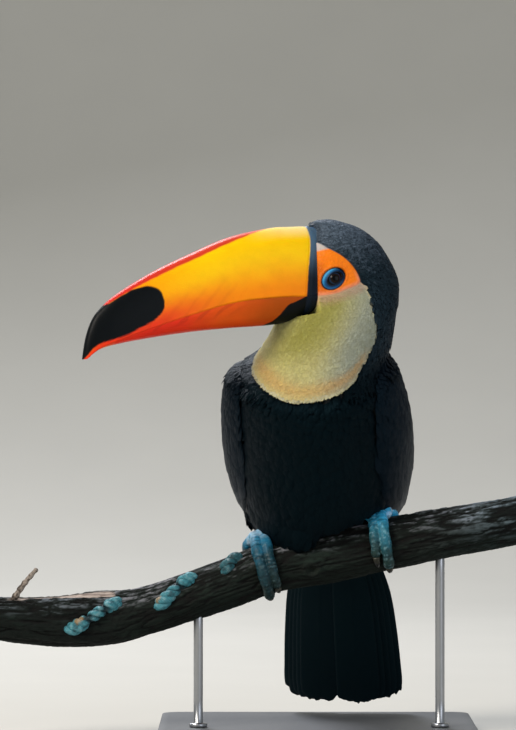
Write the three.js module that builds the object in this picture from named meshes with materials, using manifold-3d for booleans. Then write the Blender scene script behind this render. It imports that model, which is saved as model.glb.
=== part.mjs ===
// A toco toucan, life size, gripping a cut length of branch that two rods hold over a flat base.
// Millimetres. +Z is up, the bird faces -Y and turns its bill to -X. Angles are in degrees.
import * as THREE from 'three';
import { ParametricGeometry } from 'three/addons/geometries/ParametricGeometry.js';
import { mergeVertices } from 'three/addons/utils/BufferGeometryUtils.js';
import Module from 'manifold-3d';

const wasm = await Module();
wasm.setup();

// Clearance left between touching pieces, half of it for a plane cut, how far thinning the
// mesh after a cut may move a face, and the room that a cutter leaves for both.
const GAP = 0.3;
const HALF_CUT = 0.15;
const SLIVER = 0.15;
const ROOM = GAP + 2 * SLIVER;

// The body from crown to rump. Each row is one section: its centre x, y, z, the x and y of the
// unit vector down the body, the heading of its first axis, then its reach along that axis,
// a quarter turn on, opposite and three quarters on. The first axis runs to the bill in the
// head and to the right flank in the trunk, so the turned neck is not wrung.
const BODY_SECTIONS = [
  [-1.8, -21.9, 390.3, 0.227, 0.083, 70, 0, 0, 0, 0],
  [-0.5, -21.2, 389.1, 0.227, 0.083, 70, 8, 9, 9, 9],
  [6.8, -18.8, 386.7, 0.227, 0.083, 70, 14, 15.5, 11, 15.5],
  [12.3, -16.8, 380, 0.227, 0.083, 70, 27, 21, 19.5, 21],
  [17, -15, 367.9, 0.227, 0.083, 70, 38, 25.5, 28.5, 25.5],
  [21.4, -13.5, 353.5, 0.227, 0.083, 70, 45, 27.5, 33.5, 27.5],
  [24.2, -12.6, 339, 0.22, 0.09, 71, 50, 30, 37, 29.5],
  [18.5, -13, 325, 0.19, 0.13, 75, 53, 36, 43, 33],
  [10.5, -12.5, 311, 0.15, 0.2, 82, 50, 42, 48, 37],
  [4, -10, 298, 0.12, 0.28, 90, 50.5, 46, 52, 39],
  [-2, -7, 284, 0.09, 0.36, 95, 58, 51, 55, 40.5],
  [-3.5, -4, 270, 0.08, 0.45, 98, 63, 58, 62, 42],
  [-1.5, 8, 244, 0.1, 0.63, 99, 66, 62, 66, 46],
  [0, 30, 217, 0.108, 0.685, 99, 64, 73, 67, 45],
  [1, 50, 192, 0.1, 0.635, 99, 57, 73, 65, 38],
  [10, 68, 170, 0.087, 0.553, 99, 51, 42, 53, 30],
  [13, 82, 146, 0.073, 0.464, 99, 36, 22, 37, 18],
  [14.5, 91, 128, 0.068, 0.433, 99, 31, 11, 31, 10],
  [15.5, 96, 118, 0.068, 0.433, 99, 0, 0, 0, 0],
];
const BODY_RINGS = 28;
const BODY_AROUND = 24;
const HEAD_FRONT = 30;
const HEAD_END_SECTION = 6.5;
const NECK_END_SECTION = 9.6;

// The bill lies in an upright plane through the head. Each row is a distance from the head's
// axis, the heights of culmen, gape and keel, and the half width there.
const HEAD_AXIS = new THREE.Vector3(20, -14, 0);
const BILL_HEADING = 70;
const BILL_SECTIONS = [
  [26, 385.4, 334.5, 324.5, 18.5],
  [33, 385.7, 333.8, 319.5, 19],
  [43, 385.4, 333.3, 315.4, 19.2],
  [60, 384.2, 332.5, 312.4, 18.6],
  [92, 377, 328.8, 310, 16.6],
  [123, 364.2, 320.3, 307, 14.4],
  [154, 349.5, 310.1, 302.6, 11.8],
  [182, 332.5, 300, 297.4, 8.8],
  [194, 321.5, 294.8, 293.6, 6.6],
  [199, 313.6, 291, 290, 5.4],
  [202.9, 302.2, 287.4, 287, 3.8],
  [205.3, 289.2, 287, 286.6, 1.2],
];
const LOWER_BILL_END = 196.5;
const BILL_AROUND = 16;
const UPPER_BILL_RINGS = 18;
const LOWER_BILL_RINGS = 12;
const CULMEN_BOXINESS = 0.72;
const KEEL_BOXINESS = 0.8;

// Eyes: a ball on each side, placed ahead of and out from the head's axis, with its front
// standing out of the face by about 1.5 mm.
const EYE_RADIUS = 8.4;
const EYE_FORWARD = 16.5;
const EYE_OUT = 18;
const EYE_HEIGHT = 345.9;

// Wings: rows of body section number, the angles from the chest of the lower and upper edge
// and the thickness of the folded wing there.
const CHEST_ANGLE = 90;
const WING_SECTIONS = [
  [9.65, 86, 92, 1.5],
  [10.1, 66, 112, 4.5],
  [10.8, 56, 130, 6.5],
  [12, 50, 146, 7],
  [13.2, 57, 156, 7],
  [14.4, 80, 162, 6.5],
  [15.4, 108, 165, 5.5],
  [16.2, 132, 166, 4],
  [16.7, 150, 162, 1.5],
];
const WING_RINGS = 13;
const WING_AROUND = 14;
const WING_SINK = 1.6;
const SECTIONS_PER_MM = 0.08;
const DEGREES_PER_MM = 1.8;
const WING_EDGE = 0.6;
const WING_ROUNDNESS = 0.8;

// Tail: rows of the share of its length, half width, half thickness.
const TAIL_BASE = new THREE.Vector3(13.5, 76, 160);
const TAIL_TIP = new THREE.Vector3(21.8, 141, 18.5);
const TAIL_SECTIONS = [
  [0, 20, 4.5],
  [0.2, 32, 4.2],
  [0.38, 40, 3.8],
  [0.6, 44, 3.3],
  [0.8, 46, 2.8],
  [0.92, 46.4, 2.4],
  [0.975, 43, 2],
  [1, 32, 1],
];
const TAIL_BOW = 5;
const TAIL_RINGS = 10;
const TAIL_AROUND = 18;
const BODY_HEADING = 9;

// Perch: rows of x, centre height and radius, at one depth.
const PERCH_Y = 12;
const PERCH_SECTIONS = [
  [-262, 93.5, 15],
  [-238.5, 92.2, 15.5],
  [-195.8, 90.2, 18.5],
  [-169.5, 90.8, 20],
  [-148.5, 92.5, 19],
  [-126, 98.5, 17.2],
  [-73.5, 116.5, 17.6],
  [-32.3, 131.2, 18.5],
  [12.8, 139.9, 19.3],
  [61.5, 149.2, 18.7],
  [106.5, 158.2, 18],
  [148.5, 166.5, 17.2],
  [172, 171.5, 17],
];
const PERCH_RINGS = 22;
const PERCH_AROUND = 12;
const PERCH_RIDGE = 0.035;

// Twig stump and the rope that the bark has grown over. Each run of rope goes from one x to
// another, and from one height angle on the front of the perch to another.
const TWIG_START = new THREE.Vector3(-236, 8, 98);
const TWIG_END = new THREE.Vector3(-211, 2, 130);
const TWIG_RADIUS = 2.2;
const ROPE_RUNS = [
  { name: 'rope_lower', from: -188, to: -147, start: -22, end: 46 },
  { name: 'rope_middle', from: -120, to: -89, start: 2, end: 56 },
  { name: 'rope_upper', from: -66, to: -55, start: 36, end: 62 },
];
const ROPE_RADIUS = 4;
const ROPE_SINK = 1.4;
const ROPE_END_DIVE = 5;

// Feet: the place of each on the perch and its toes. A toe starts and ends at a distance
// along the perch and an angle round it, measured from the top towards the front. Two toes
// point forward and two back.
const FEET = [
  {
    side: 'left',
    at: 53,
    joint: { along: -3, out: 6.5 },
    hock: new THREE.Vector3(49, 40, 182),
    thigh: new THREE.Vector3(51, 34, 200),
    toes: [
      { from: [-1, 2], to: [-3.5, 136], radius: [6.2, 4.9] },
      { from: [-4, 2], to: [-10, 108], radius: [5.5, 4.3] },
      { from: [0, 2], to: [13, -84], radius: [5.6, 4.2] },
      { from: [-5, 2], to: [-15, -78], radius: [5, 3.9] },
    ],
  },
  {
    side: 'right',
    at: -32,
    joint: { along: -3, out: 6.5 },
    hock: new THREE.Vector3(-38, 40, 160),
    thigh: new THREE.Vector3(-38, 38, 182),
    toes: [
      { from: [-6, 2], to: [-10, 158], radius: [6.2, 4.9] },
      { from: [-1, 2], to: [-3.5, 134], radius: [5.5, 4.3] },
      { from: [-7, 2], to: [-19, -84], radius: [5.6, 4.2] },
      { from: [-1, 2], to: [9, -78], radius: [5, 3.9] },
    ],
  },
];
const TOE_RINGS = 7;
const TOE_AROUND = 6;
const TOE_SEAT = 0.93;
const TARSUS_RADIUS = 5;
const KNUCKLE_RADIUS = 6;
const THIGH_TOP_RADIUS = 17;
const THIGH_LOW_RADIUS = 8.5;
const THIGH_CUFF = 8;
const CLAW_SWEEP = 30;
const CLAW_ROOT_RADIUS = 2.7;
const CLAW_TIP_RADIUS = 0.7;
const CLAW_INSET = 3;
const CLAW_RISE = 1.15;
const CLAW_POINT_OUT = 1.2;
const CLAW_RINGS = 5;
const CLAW_AROUND = 5;

// Stand: a flat base with rounded corners and two rods.
const BASE_WIDTH = 240;
const BASE_DEPTH = 210;
const BASE_THICKNESS = 10;
const BASE_CORNER = 14;
const BASE_CENTRE_Y = 42;
const ROD_RADIUS = 3.5;
const ROD_FEET = [
  { name: 'stand_rod_right', x: -90 },
  { name: 'stand_rod_left', x: 92 },
];
const ROD_INTO_PERCH = 10;

const COLOURS = {
  plumage: [0x14161c, 0.75, 0],
  bib: [0xe9e6c8, 0.8, 0],
  bill: [0xff9a0a, 0.35, 0],
  eye: [0x11151f, 0.1, 0],
  foot: [0x4f93ad, 0.6, 0],
  claw: [0x3a3c38, 0.45, 0],
  bark: [0x4a443e, 0.9, 0],
  rope: [0x3f8f93, 0.85, 0],
  steel: [0x8d9094, 0.35, 0.9],
  base: [0x55565a, 0.5, 0],
};

const FULL_TURN = 2 * Math.PI;
const rad = THREE.MathUtils.degToRad;

// A smooth curve through rows of numbers whose first entry rises.
function rowAt(rows, x) {
  const last = rows.length - 1;
  let i = 0;
  while (i < last - 1 && x > rows[i + 1][0]) {
    i += 1;
  }
  const before = rows[Math.max(i - 1, 0)];
  const a = rows[i];
  const b = rows[i + 1];
  const after = rows[Math.min(i + 2, last)];
  const step = b[0] - a[0];
  const t = THREE.MathUtils.clamp((x - a[0]) / step, 0, 1);
  return a.map((value, k) => {
    const slopeA = ((b[k] - before[k]) / (b[0] - before[0])) * step;
    const slopeB = ((after[k] - a[k]) / (after[0] - a[0])) * step;
    const s = t * t * (3 - 2 * t);
    const rise = t * (1 - t) * (1 - t);
    const fall = t * t * (1 - t);
    return value * (1 - s) + b[k] * s + slopeA * rise - slopeB * fall;
  });
}

const NUMBERED_BODY = BODY_SECTIONS.map((row, i) => [i, ...row]);
const LAST_SECTION = BODY_SECTIONS.length - 1;

// The level unit vector at a heading, measured from -Y towards -X.
function levelVector(degrees) {
  return new THREE.Vector3(-Math.sin(rad(degrees)), -Math.cos(rad(degrees)), 0);
}

// A body section's down vector and its first and second axes.
function sectionAxes(downX, downY, heading) {
  const down = new THREE.Vector3(downX, downY, -Math.sqrt(1 - downX * downX - downY * downY));
  const first = levelVector(heading);
  first.addScaledVector(down, -first.dot(down)).normalize();
  const second = new THREE.Vector3().crossVectors(first, down);
  return { down, first, second };
}

// A point on the body: section number and angle from the first axis towards the second.
function bodyPoint(section, angle, target) {
  const [, x, y, z, downX, downY, heading, ...reach] = rowAt(NUMBERED_BODY, section);
  const { first, second } = sectionAxes(downX, downY, heading);
  const c = Math.cos(angle);
  const s = Math.sin(angle);
  target.set(x, y, z);
  target.addScaledVector(first, c * Math.max(c > 0 ? reach[0] : reach[2], 0));
  target.addScaledVector(second, s * Math.max(s > 0 ? reach[1] : reach[3], 0));
  return target;
}

// The body's outward normal, from the surface's own slopes.
function bodyNormal(section, angle) {
  const small = 0.01;
  const p = [0, 1, 2, 3].map(() => new THREE.Vector3());
  bodyPoint(section - small, angle, p[0]);
  bodyPoint(section + small, angle, p[1]);
  bodyPoint(section, angle - small, p[2]);
  bodyPoint(section, angle + small, p[3]);
  const along = p[1].sub(p[0]);
  const around = p[3].sub(p[2]);
  return along.cross(around).normalize();
}

// A closed solid from a surface function of two shares: u goes round, v from pole to pole.
function solidFrom(surface, around, rings) {
  const geometry = new ParametricGeometry(surface, around, rings);
  return toManifold(geometry);
}

function toManifold(geometry) {
  geometry.deleteAttribute('normal');
  geometry.deleteAttribute('uv');
  const merged = mergeVertices(geometry, 1e-4);
  const index = merged.index.array;
  const kept = [];
  for (let i = 0; i < index.length; i += 3) {
    const [a, b, c] = [index[i], index[i + 1], index[i + 2]];
    if (a !== b && b !== c && c !== a) {
      kept.push(a, b, c);
    }
  }
  const build = (triVerts) => new wasm.Manifold(new wasm.Mesh({
    numProp: 3,
    vertProperties: Float32Array.from(merged.attributes.position.array),
    triVerts: Uint32Array.from(triVerts),
  }));
  const solid = build(kept);
  if (solid.volume() > 0) {
    return solid;
  }
  const turned = [];
  for (let i = 0; i < kept.length; i += 3) {
    turned.push(kept[i], kept[i + 2], kept[i + 1]);
  }
  return build(turned);
}

// The largest single piece of a solid, without its slivers.
function largestPiece(solid) {
  const pieces = solid.simplify(SLIVER).decompose();
  pieces.sort((a, b) => b.volume() - a.volume());
  return pieces[0];
}

function joined(solids) {
  return solids.reduce((whole, solid) => whole.add(solid));
}

function cutFrom(solid, cutters) {
  return largestPiece(cutters.reduce((rest, cutter) => rest.subtract(cutter), solid));
}

// Rings close up near both poles, so that round ends stay round.
function poleSpaced(share) {
  return (1 - Math.cos(Math.PI * share)) / 2;
}

// A round bar along a path. radius(t) gives the radius at a share of the path; both ends are
// rounded over the share endRound of its length.
function bar({ path, radius, side, rings, around, endRound, grow = 0 }) {
  const at = (t) => path(THREE.MathUtils.clamp(t, 0, 1));
  const small = 0.004;
  return solidFrom((u, v, target) => {
    const t = poleSpaced(v);
    const tangent = at(t + small).clone().sub(at(t - small)).normalize();
    const across = side.clone().addScaledVector(tangent, -side.dot(tangent)).normalize();
    const outward = new THREE.Vector3().crossVectors(tangent, across);
    const fromEnd = Math.min(t, 1 - t);
    const shortfall = 1 - Math.min(fromEnd / endRound, 1);
    const reach = (radius(t) + grow) * Math.sqrt(Math.max(1 - shortfall * shortfall, 0));
    target.copy(at(t));
    if (grow > 0) {
      target.addScaledVector(tangent, grow * Math.sign(t - 0.5) * shortfall);
    }
    target.addScaledVector(across, reach * Math.cos(u * FULL_TURN));
    target.addScaledVector(outward, reach * Math.sin(u * FULL_TURN));
  }, around, rings);
}

function wholeBody() {
  return solidFrom((u, v, target) => {
    bodyPoint(poleSpaced(v) * LAST_SECTION, u * FULL_TURN, target);
  }, BODY_AROUND, BODY_RINGS);
}

// The plane through a body section, as a unit normal down the body and an offset.
function sectionPlane(section) {
  const [, x, y, z, downX, downY, heading] = rowAt(NUMBERED_BODY, section);
  const normal = sectionAxes(downX, downY, heading).down;
  return { normal, offset: normal.dot(new THREE.Vector3(x, y, z)) };
}

// The part of a solid between two body sections; null leaves that side whole.
function between(solid, upper, lower) {
  let piece = solid;
  if (upper !== null) {
    const { normal, offset } = sectionPlane(upper);
    piece = piece.trimByPlane(normal.toArray(), offset + HALF_CUT);
  }
  if (lower !== null) {
    const { normal, offset } = sectionPlane(lower);
    piece = piece.trimByPlane(normal.clone().negate().toArray(), HALF_CUT - offset);
  }
  return piece;
}

// The head without the brim that would overhang the bill, cut square to the bill.
function behindBrim(solid) {
  const backward = levelVector(BILL_HEADING).negate();
  return solid.trimByPlane(backward.toArray(), backward.dot(HEAD_AXIS) - HEAD_FRONT);
}

// One half of the bill. Its section is flat along the gape and rounded at culmen or keel.
function billHalf(isUpper, grow = 0) {
  const ahead = levelVector(BILL_HEADING);
  const left = levelVector(BILL_HEADING - 90);
  const start = BILL_SECTIONS[0][0];
  const end = isUpper ? BILL_SECTIONS.at(-1)[0] : LOWER_BILL_END;
  const boxiness = isUpper ? CULMEN_BOXINESS : KEEL_BOXINESS;
  const rings = isUpper ? UPPER_BILL_RINGS : LOWER_BILL_RINGS;
  return solidFrom((u, v, target) => {
    const ring = Math.round(v * rings);
    const share = Math.max(ring - 1, 0) / (rings - 1);
    const distance = start + (end - start) * Math.sin((Math.PI / 2) * share);
    const [, culmen, gape, keel, halfWidth] = rowAt(BILL_SECTIONS, distance);
    const isPole = ring === 0 || ring === rings;
    const shift = ring <= 1 ? -grow : isPole * grow;
    const c = Math.cos(u * FULL_TURN);
    const s = Math.sin(u * FULL_TURN);
    const flat = gape + (isUpper ? HALF_CUT - grow : grow - HALF_CUT);
    const crest = isUpper ? culmen + grow : keel - grow;
    const across = Math.sign(c) * Math.abs(c) ** boxiness * (halfWidth + grow);
    const rise = (crest - flat) * (isPole ? 0.5 : Math.max(s, 0));
    target.copy(HEAD_AXIS).addScaledVector(ahead, distance + shift);
    target.addScaledVector(left, isPole ? 0 : across);
    target.z = flat + rise;
  }, BILL_AROUND, rings);
}

function eyeCentre(side) {
  const centre = HEAD_AXIS.clone().setZ(EYE_HEIGHT);
  centre.addScaledVector(levelVector(BILL_HEADING), EYE_FORWARD);
  return centre.addScaledVector(levelVector(BILL_HEADING - 90), EYE_OUT * side);
}

function ball(centre, radius, around, rings) {
  const geometry = new THREE.SphereGeometry(radius, around, rings);
  geometry.translate(centre.x, centre.y, centre.z);
  return toManifold(geometry);
}

// A folded wing: a thin shell over the flank, thickest along its middle.
function wing(side, grow = 0) {
  const lastRow = WING_SECTIONS.length - 1;
  const rows = WING_SECTIONS.map((row, i) => [i / lastRow, ...row]);
  return solidFrom((u, v, target) => {
    const share = poleSpaced(v);
    const [, row, low, high, thickness] = rowAt(rows, share);
    const section = row + (Number(v === 1) - Number(v === 0)) * grow * SECTIONS_PER_MM;
    const angle = u * FULL_TURN;
    const across = (1 - Math.cos(angle)) / 2;
    const isOutside = Math.sin(angle) > 0;
    const middle = (low + high) / 2;
    const margin = v === 0 || v === 1 ? 0 : 1;
    const spread = ((high - low) / 2 + grow * DEGREES_PER_MM) * margin;
    const degrees = middle + (2 * across - 1) * spread;
    const around = rad(CHEST_ANGLE + degrees * side);
    const round = Math.abs(Math.sin(angle)) ** WING_ROUNDNESS;
    const top = WING_EDGE + grow + (thickness - WING_EDGE) * round;
    const under = -grow - WING_SINK * round - WING_EDGE * (1 - round) * 0.5;
    const lift = (isOutside ? top : under) * margin;
    bodyPoint(section, around, target);
    target.addScaledVector(bodyNormal(section, around), lift);
  }, WING_AROUND, WING_RINGS);
}

function tail(grow = 0) {
  const direction = TAIL_TIP.clone().sub(TAIL_BASE).normalize();
  const left = levelVector(BODY_HEADING - 90);
  const back = new THREE.Vector3().crossVectors(direction, left).normalize();
  const rows = TAIL_SECTIONS;
  return solidFrom((u, v, target) => {
    const share = Math.sin((Math.PI / 2) * v);
    const [, halfWidth, halfThickness] = rowAt(rows, share);
    const angle = u * FULL_TURN;
    const margin = v === 0 || v === 1 ? 0 : 1;
    const across = Math.cos(angle) * margin;
    const thick = Math.sin(angle) * margin * (halfThickness + grow);
    target.lerpVectors(TAIL_BASE, TAIL_TIP, share);
    target.addScaledVector(direction, v === 0 ? -grow : 0);
    target.addScaledVector(left, across * (halfWidth + grow));
    target.addScaledVector(back, thick - TAIL_BOW * across * across * Math.min(share * 2, 1));
  }, TAIL_AROUND, TAIL_RINGS);
}

function perchCentre(x) {
  const [, z, radius] = rowAt(PERCH_SECTIONS, x);
  return { centre: new THREE.Vector3(x, PERCH_Y, z), radius };
}

// The perch's direction at x and the upward direction square to it.
function perchAxes(x) {
  const along = perchCentre(x + 2).centre.sub(perchCentre(x - 2).centre).normalize();
  const up = new THREE.Vector3(-along.z, 0, along.x);
  return { along, up };
}

// A point at a distance along the perch from x and an angle from its top to its front.
function aroundPerch(x, alongBy, degrees, out) {
  const { along } = perchAxes(x);
  const place = perchCentre(x).centre.addScaledVector(along, alongBy);
  const { centre, radius } = perchCentre(place.x);
  const { up } = perchAxes(place.x);
  centre.addScaledVector(up, (radius + out) * Math.cos(rad(degrees)));
  centre.y -= (radius + out) * Math.sin(rad(degrees));
  return centre;
}

function perch(grow = 0) {
  const start = PERCH_SECTIONS[0][0];
  const end = PERCH_SECTIONS.at(-1)[0];
  return solidFrom((u, v, target) => {
    const share = THREE.MathUtils.clamp((v * PERCH_RINGS - 1) / (PERCH_RINGS - 2), 0, 1);
    const x = THREE.MathUtils.lerp(start, end, share);
    const { centre, radius } = perchCentre(x);
    const { up } = perchAxes(x);
    const angle = u * FULL_TURN;
    const ridges = Math.sin(3 * angle + x / 31) + 0.7 * Math.sin(5 * angle - x / 19);
    const reach = v === 0 || v === 1 ? 0 : radius * (1 + PERCH_RIDGE * ridges) + grow;
    target.copy(centre);
    target.addScaledVector(up, reach * Math.cos(angle));
    target.y -= reach * Math.sin(angle);
  }, PERCH_AROUND, PERCH_RINGS);
}

function ropeRun({ from, to, start, end }, grow = 0) {
  const path = (t) => {
    const x = THREE.MathUtils.lerp(from, to, t);
    const height = THREE.MathUtils.lerp(start, end, t);
    const dive = ROPE_END_DIVE * (2 * t - 1) ** 4;
    return aroundPerch(x, 0, 90 - height, ROPE_SINK - dive);
  };
  const side = new THREE.Vector3(0, 1, 0);
  const radius = () => ROPE_RADIUS;
  return bar({ path, radius, side, rings: 7, around: 6, endRound: 0.12, grow });
}

function twig(grow = 0) {
  const path = (t) => new THREE.Vector3().lerpVectors(TWIG_START, TWIG_END, t);
  const radius = (t) => TWIG_RADIUS * (1.25 - 0.5 * t);
  return bar({ path, radius, side: new THREE.Vector3(0, 1, 0), rings: 7, around: 6, endRound: 0.06, grow });
}

// The path of one toe round the perch, and of its claw beyond it.
function toePath(foot, toe) {
  return (t) => {
    const alongBy = THREE.MathUtils.lerp(toe.from[0], toe.to[0], Math.sqrt(t));
    const degrees = THREE.MathUtils.lerp(toe.from[1], toe.to[1], t);
    const thick = THREE.MathUtils.lerp(toe.radius[0], toe.radius[1], t);
    const lift = (foot.joint.out - toe.radius[0]) * (1 - t) ** 4;
    return aroundPerch(foot.at, alongBy, degrees, thick * TOE_SEAT + lift);
  };
}

function clawPath(foot, toe) {
  const turnBy = Math.sign(toe.to[1]) * CLAW_SWEEP;
  return (t) => {
    const degrees = toe.to[1] - Math.sign(toe.to[1]) * CLAW_INSET + turnBy * t;
    const out = toe.radius[1] * (CLAW_RISE - 0.1 * t) * (1 - t * t) + CLAW_POINT_OUT * t * t;
    return aroundPerch(foot.at, toe.to[0], degrees, out);
  };
}

function footSolid(foot, grow = 0) {
  const { along } = perchAxes(foot.at);
  const toes = foot.toes.map((toe) => bar({
    path: toePath(foot, toe),
    radius: (t) => THREE.MathUtils.lerp(toe.radius[0], toe.radius[1], t),
    side: along,
    rings: TOE_RINGS,
    around: TOE_AROUND,
    endRound: 0.08,
    grow,
  }));
  const joint = aroundPerch(foot.at, foot.joint.along, 4, foot.joint.out);
  const knuckle = ball(joint, KNUCKLE_RADIUS + grow, 8, 5);
  const tarsus = bar({
    path: (t) => new THREE.Vector3().lerpVectors(joint, foot.hock, t),
    radius: (t) => TARSUS_RADIUS * (1.2 - 0.35 * Math.sin(Math.PI * t)),
    side: along,
    rings: TOE_RINGS,
    around: TOE_AROUND,
    endRound: 0.14,
    grow,
  });
  return joined([...toes, tarsus, knuckle]).simplify(SLIVER);
}

function claw(foot, toe, grow = 0) {
  return bar({
    path: clawPath(foot, toe),
    radius: (t) => THREE.MathUtils.lerp(CLAW_ROOT_RADIUS, CLAW_TIP_RADIUS, t ** 1.3),
    side: perchAxes(foot.at).along,
    rings: CLAW_RINGS,
    around: CLAW_AROUND,
    endRound: 0.1,
    grow,
  });
}

function thigh(foot, grow = 0) {
  const low = aroundPerch(foot.at, foot.joint.along, -12, foot.joint.out + THIGH_CUFF);
  return bar({
    path: (t) => new THREE.Vector3().lerpVectors(low, foot.thigh, t),
    radius: (t) => THREE.MathUtils.lerp(THIGH_LOW_RADIUS, THIGH_TOP_RADIUS, Math.sqrt(t)),
    side: new THREE.Vector3(1, 0, 0),
    rings: 6,
    around: 9,
    endRound: 0.3,
    grow,
  });
}

function standBase() {
  const halfWidth = BASE_WIDTH / 2 - BASE_CORNER;
  const halfDepth = BASE_DEPTH / 2 - BASE_CORNER;
  const outline = new THREE.Shape();
  outline.absarc(halfWidth, halfDepth, BASE_CORNER, 0, Math.PI / 2);
  outline.absarc(-halfWidth, halfDepth, BASE_CORNER, Math.PI / 2, Math.PI);
  outline.absarc(-halfWidth, -halfDepth, BASE_CORNER, Math.PI, 1.5 * Math.PI);
  outline.absarc(halfWidth, -halfDepth, BASE_CORNER, 1.5 * Math.PI, FULL_TURN);
  const settings = { depth: BASE_THICKNESS, bevelEnabled: false, curveSegments: 5 };
  const geometry = new THREE.ExtrudeGeometry(outline, settings);
  geometry.translate(0, BASE_CENTRE_Y, 0);
  return toManifold(geometry);
}

function rod(x, grow = 0) {
  const { centre, radius } = perchCentre(x);
  const bottom = BASE_THICKNESS + GAP;
  const top = centre.z - radius + ROD_INTO_PERCH + grow;
  const geometry = new THREE.CylinderGeometry(ROD_RADIUS + grow, ROD_RADIUS + grow, top - bottom, 20);
  geometry.rotateX(Math.PI / 2);
  geometry.translate(x, PERCH_Y, (top + bottom) / 2);
  return toManifold(geometry);
}

function toMesh(solid, name, [colour, roughness, metalness]) {
  const { vertProperties, triVerts, numProp } = solid.getMesh();
  const positions = new Float32Array((vertProperties.length / numProp) * 3);
  for (let i = 0; i < positions.length; i += 3) {
    positions.set(vertProperties.subarray((i / 3) * numProp, (i / 3) * numProp + 3), i);
  }
  const geometry = new THREE.BufferGeometry();
  geometry.setAttribute('position', new THREE.BufferAttribute(positions, 3));
  geometry.setIndex(new THREE.BufferAttribute(Uint32Array.from(triVerts), 1));
  geometry.computeVertexNormals();
  const material = new THREE.MeshStandardMaterial({ color: colour, roughness, metalness });
  const mesh = new THREE.Mesh(geometry, material);
  mesh.name = name;
  return mesh;
}

const toucan = new THREE.Group();
toucan.name = 'toucan';

function place(solid, name, finish) {
  toucan.add(toMesh(solid, name, finish));
}

const body = wholeBody();
const eyes = [1, -1].map((side) => ball(eyeCentre(side), EYE_RADIUS, 12, 8));
const eyeSockets = [1, -1].map((side) => ball(eyeCentre(side), EYE_RADIUS + GAP, 12, 8));
const upperBill = billHalf(true);
const lowerBill = billHalf(false);
const billSockets = [billHalf(true, ROOM), billHalf(false, ROOM)];
const wholeHead = behindBrim(between(body, null, HEAD_END_SECTION));
const head = cutFrom(wholeHead, [...billSockets, ...eyeSockets]);
const neck = cutFrom(between(body, HEAD_END_SECTION, NECK_END_SECTION), billSockets);

place(head, 'head', COLOURS.plumage);
place(neck, 'neck', COLOURS.bib);
place(upperBill, 'bill_upper', COLOURS.bill);
place(lowerBill, 'bill_lower', COLOURS.bill);
place(eyes[0], 'eye_left', COLOURS.eye);
place(eyes[1], 'eye_right', COLOURS.eye);

const perchSolid = perch();
const feet = FEET.map((foot) => {
  const claws = foot.toes.map((toe) => claw(foot, toe));
  const sockets = foot.toes.map((toe) => claw(foot, toe, ROOM));
  return { foot, claws, solid: cutFrom(footSolid(foot), sockets) };
});
const footRoom = FEET.map((foot) => footSolid(foot, ROOM));
const clawRoom = FEET.flatMap((foot) => foot.toes.map((toe) => claw(foot, toe, ROOM)));
const perchRoom = perch(ROOM);

const tailSolid = tail();
const wings = [1, -1].map((side) => wing(side));
const wingRoom = [1, -1].map((side) => wing(side, ROOM));
const legCutters = [perchRoom, ...footRoom, ...clawRoom, ...wingRoom];
const thighs = FEET.map((foot) => cutFrom(thigh(foot), legCutters));
const thighRoom = FEET.map((foot) => thigh(foot, ROOM));
const trunkCutters = [tail(ROOM), ...legCutters, ...thighRoom];
const trunk = cutFrom(between(body, NECK_END_SECTION, null), trunkCutters);

place(trunk, 'trunk', COLOURS.plumage);
place(wings[0], 'wing_left', COLOURS.plumage);
place(wings[1], 'wing_right', COLOURS.plumage);
place(tailSolid, 'tail', COLOURS.plumage);

feet.forEach(({ foot, claws, solid }, i) => {
  place(thighs[i], `thigh_${foot.side}`, COLOURS.plumage);
  place(solid, `foot_${foot.side}`, COLOURS.foot);
  claws.forEach((piece, k) => place(piece, `claw_${foot.side}_${k + 1}`, COLOURS.claw));
});

const ropes = ROPE_RUNS.map((run) => ropeRun(run));
const ropeRoom = ROPE_RUNS.map((run) => ropeRun(run, ROOM));
const rodRoom = ROD_FEET.map(({ x }) => rod(x, ROOM));
const perchCutters = [...ropeRoom, ...rodRoom, ...footRoom, ...clawRoom, twig(ROOM)];
place(cutFrom(perchSolid, perchCutters), 'perch', COLOURS.bark);
place(twig(), 'perch_twig', COLOURS.bark);
ROPE_RUNS.forEach(({ name }, i) => place(ropes[i], name, COLOURS.rope));
place(standBase(), 'stand_base', COLOURS.base);
ROD_FEET.forEach(({ name, x }) => place(rod(x), name, COLOURS.steel));

export default toucan;
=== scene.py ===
"""Toco toucan, life size, gripping a cut length of branch over a plain display stand.

+Z is up, the bird faces -Y and turns its bill to -X. Shapes are worked out in millimetres and
written into the meshes in metres. The body is one skin from crown to rump, and its feathers
are thin vanes laid over it. Angles are in degrees unless a name says radians.
"""

import logging
import math
from dataclasses import dataclass, field
from enum import Enum
from functools import cache
from itertools import product
from typing import Callable

import bpy
import numpy as np
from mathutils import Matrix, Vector


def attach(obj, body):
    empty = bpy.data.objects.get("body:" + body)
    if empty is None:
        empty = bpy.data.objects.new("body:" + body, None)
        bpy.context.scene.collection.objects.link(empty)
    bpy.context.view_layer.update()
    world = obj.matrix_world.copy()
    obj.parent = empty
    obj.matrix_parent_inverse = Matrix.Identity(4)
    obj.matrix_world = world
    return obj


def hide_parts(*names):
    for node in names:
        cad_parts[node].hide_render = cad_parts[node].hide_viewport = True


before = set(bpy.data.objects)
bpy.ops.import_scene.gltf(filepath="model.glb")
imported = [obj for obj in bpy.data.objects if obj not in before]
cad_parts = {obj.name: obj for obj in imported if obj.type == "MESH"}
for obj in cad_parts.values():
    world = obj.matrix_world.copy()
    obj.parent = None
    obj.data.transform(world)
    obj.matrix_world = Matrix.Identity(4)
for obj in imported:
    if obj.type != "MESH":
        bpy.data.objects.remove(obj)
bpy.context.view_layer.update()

Array = np.ndarray
Arrays = tuple[Array, ...]
Pair = tuple[float, float]
Triple = tuple[float, float, float]
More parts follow.
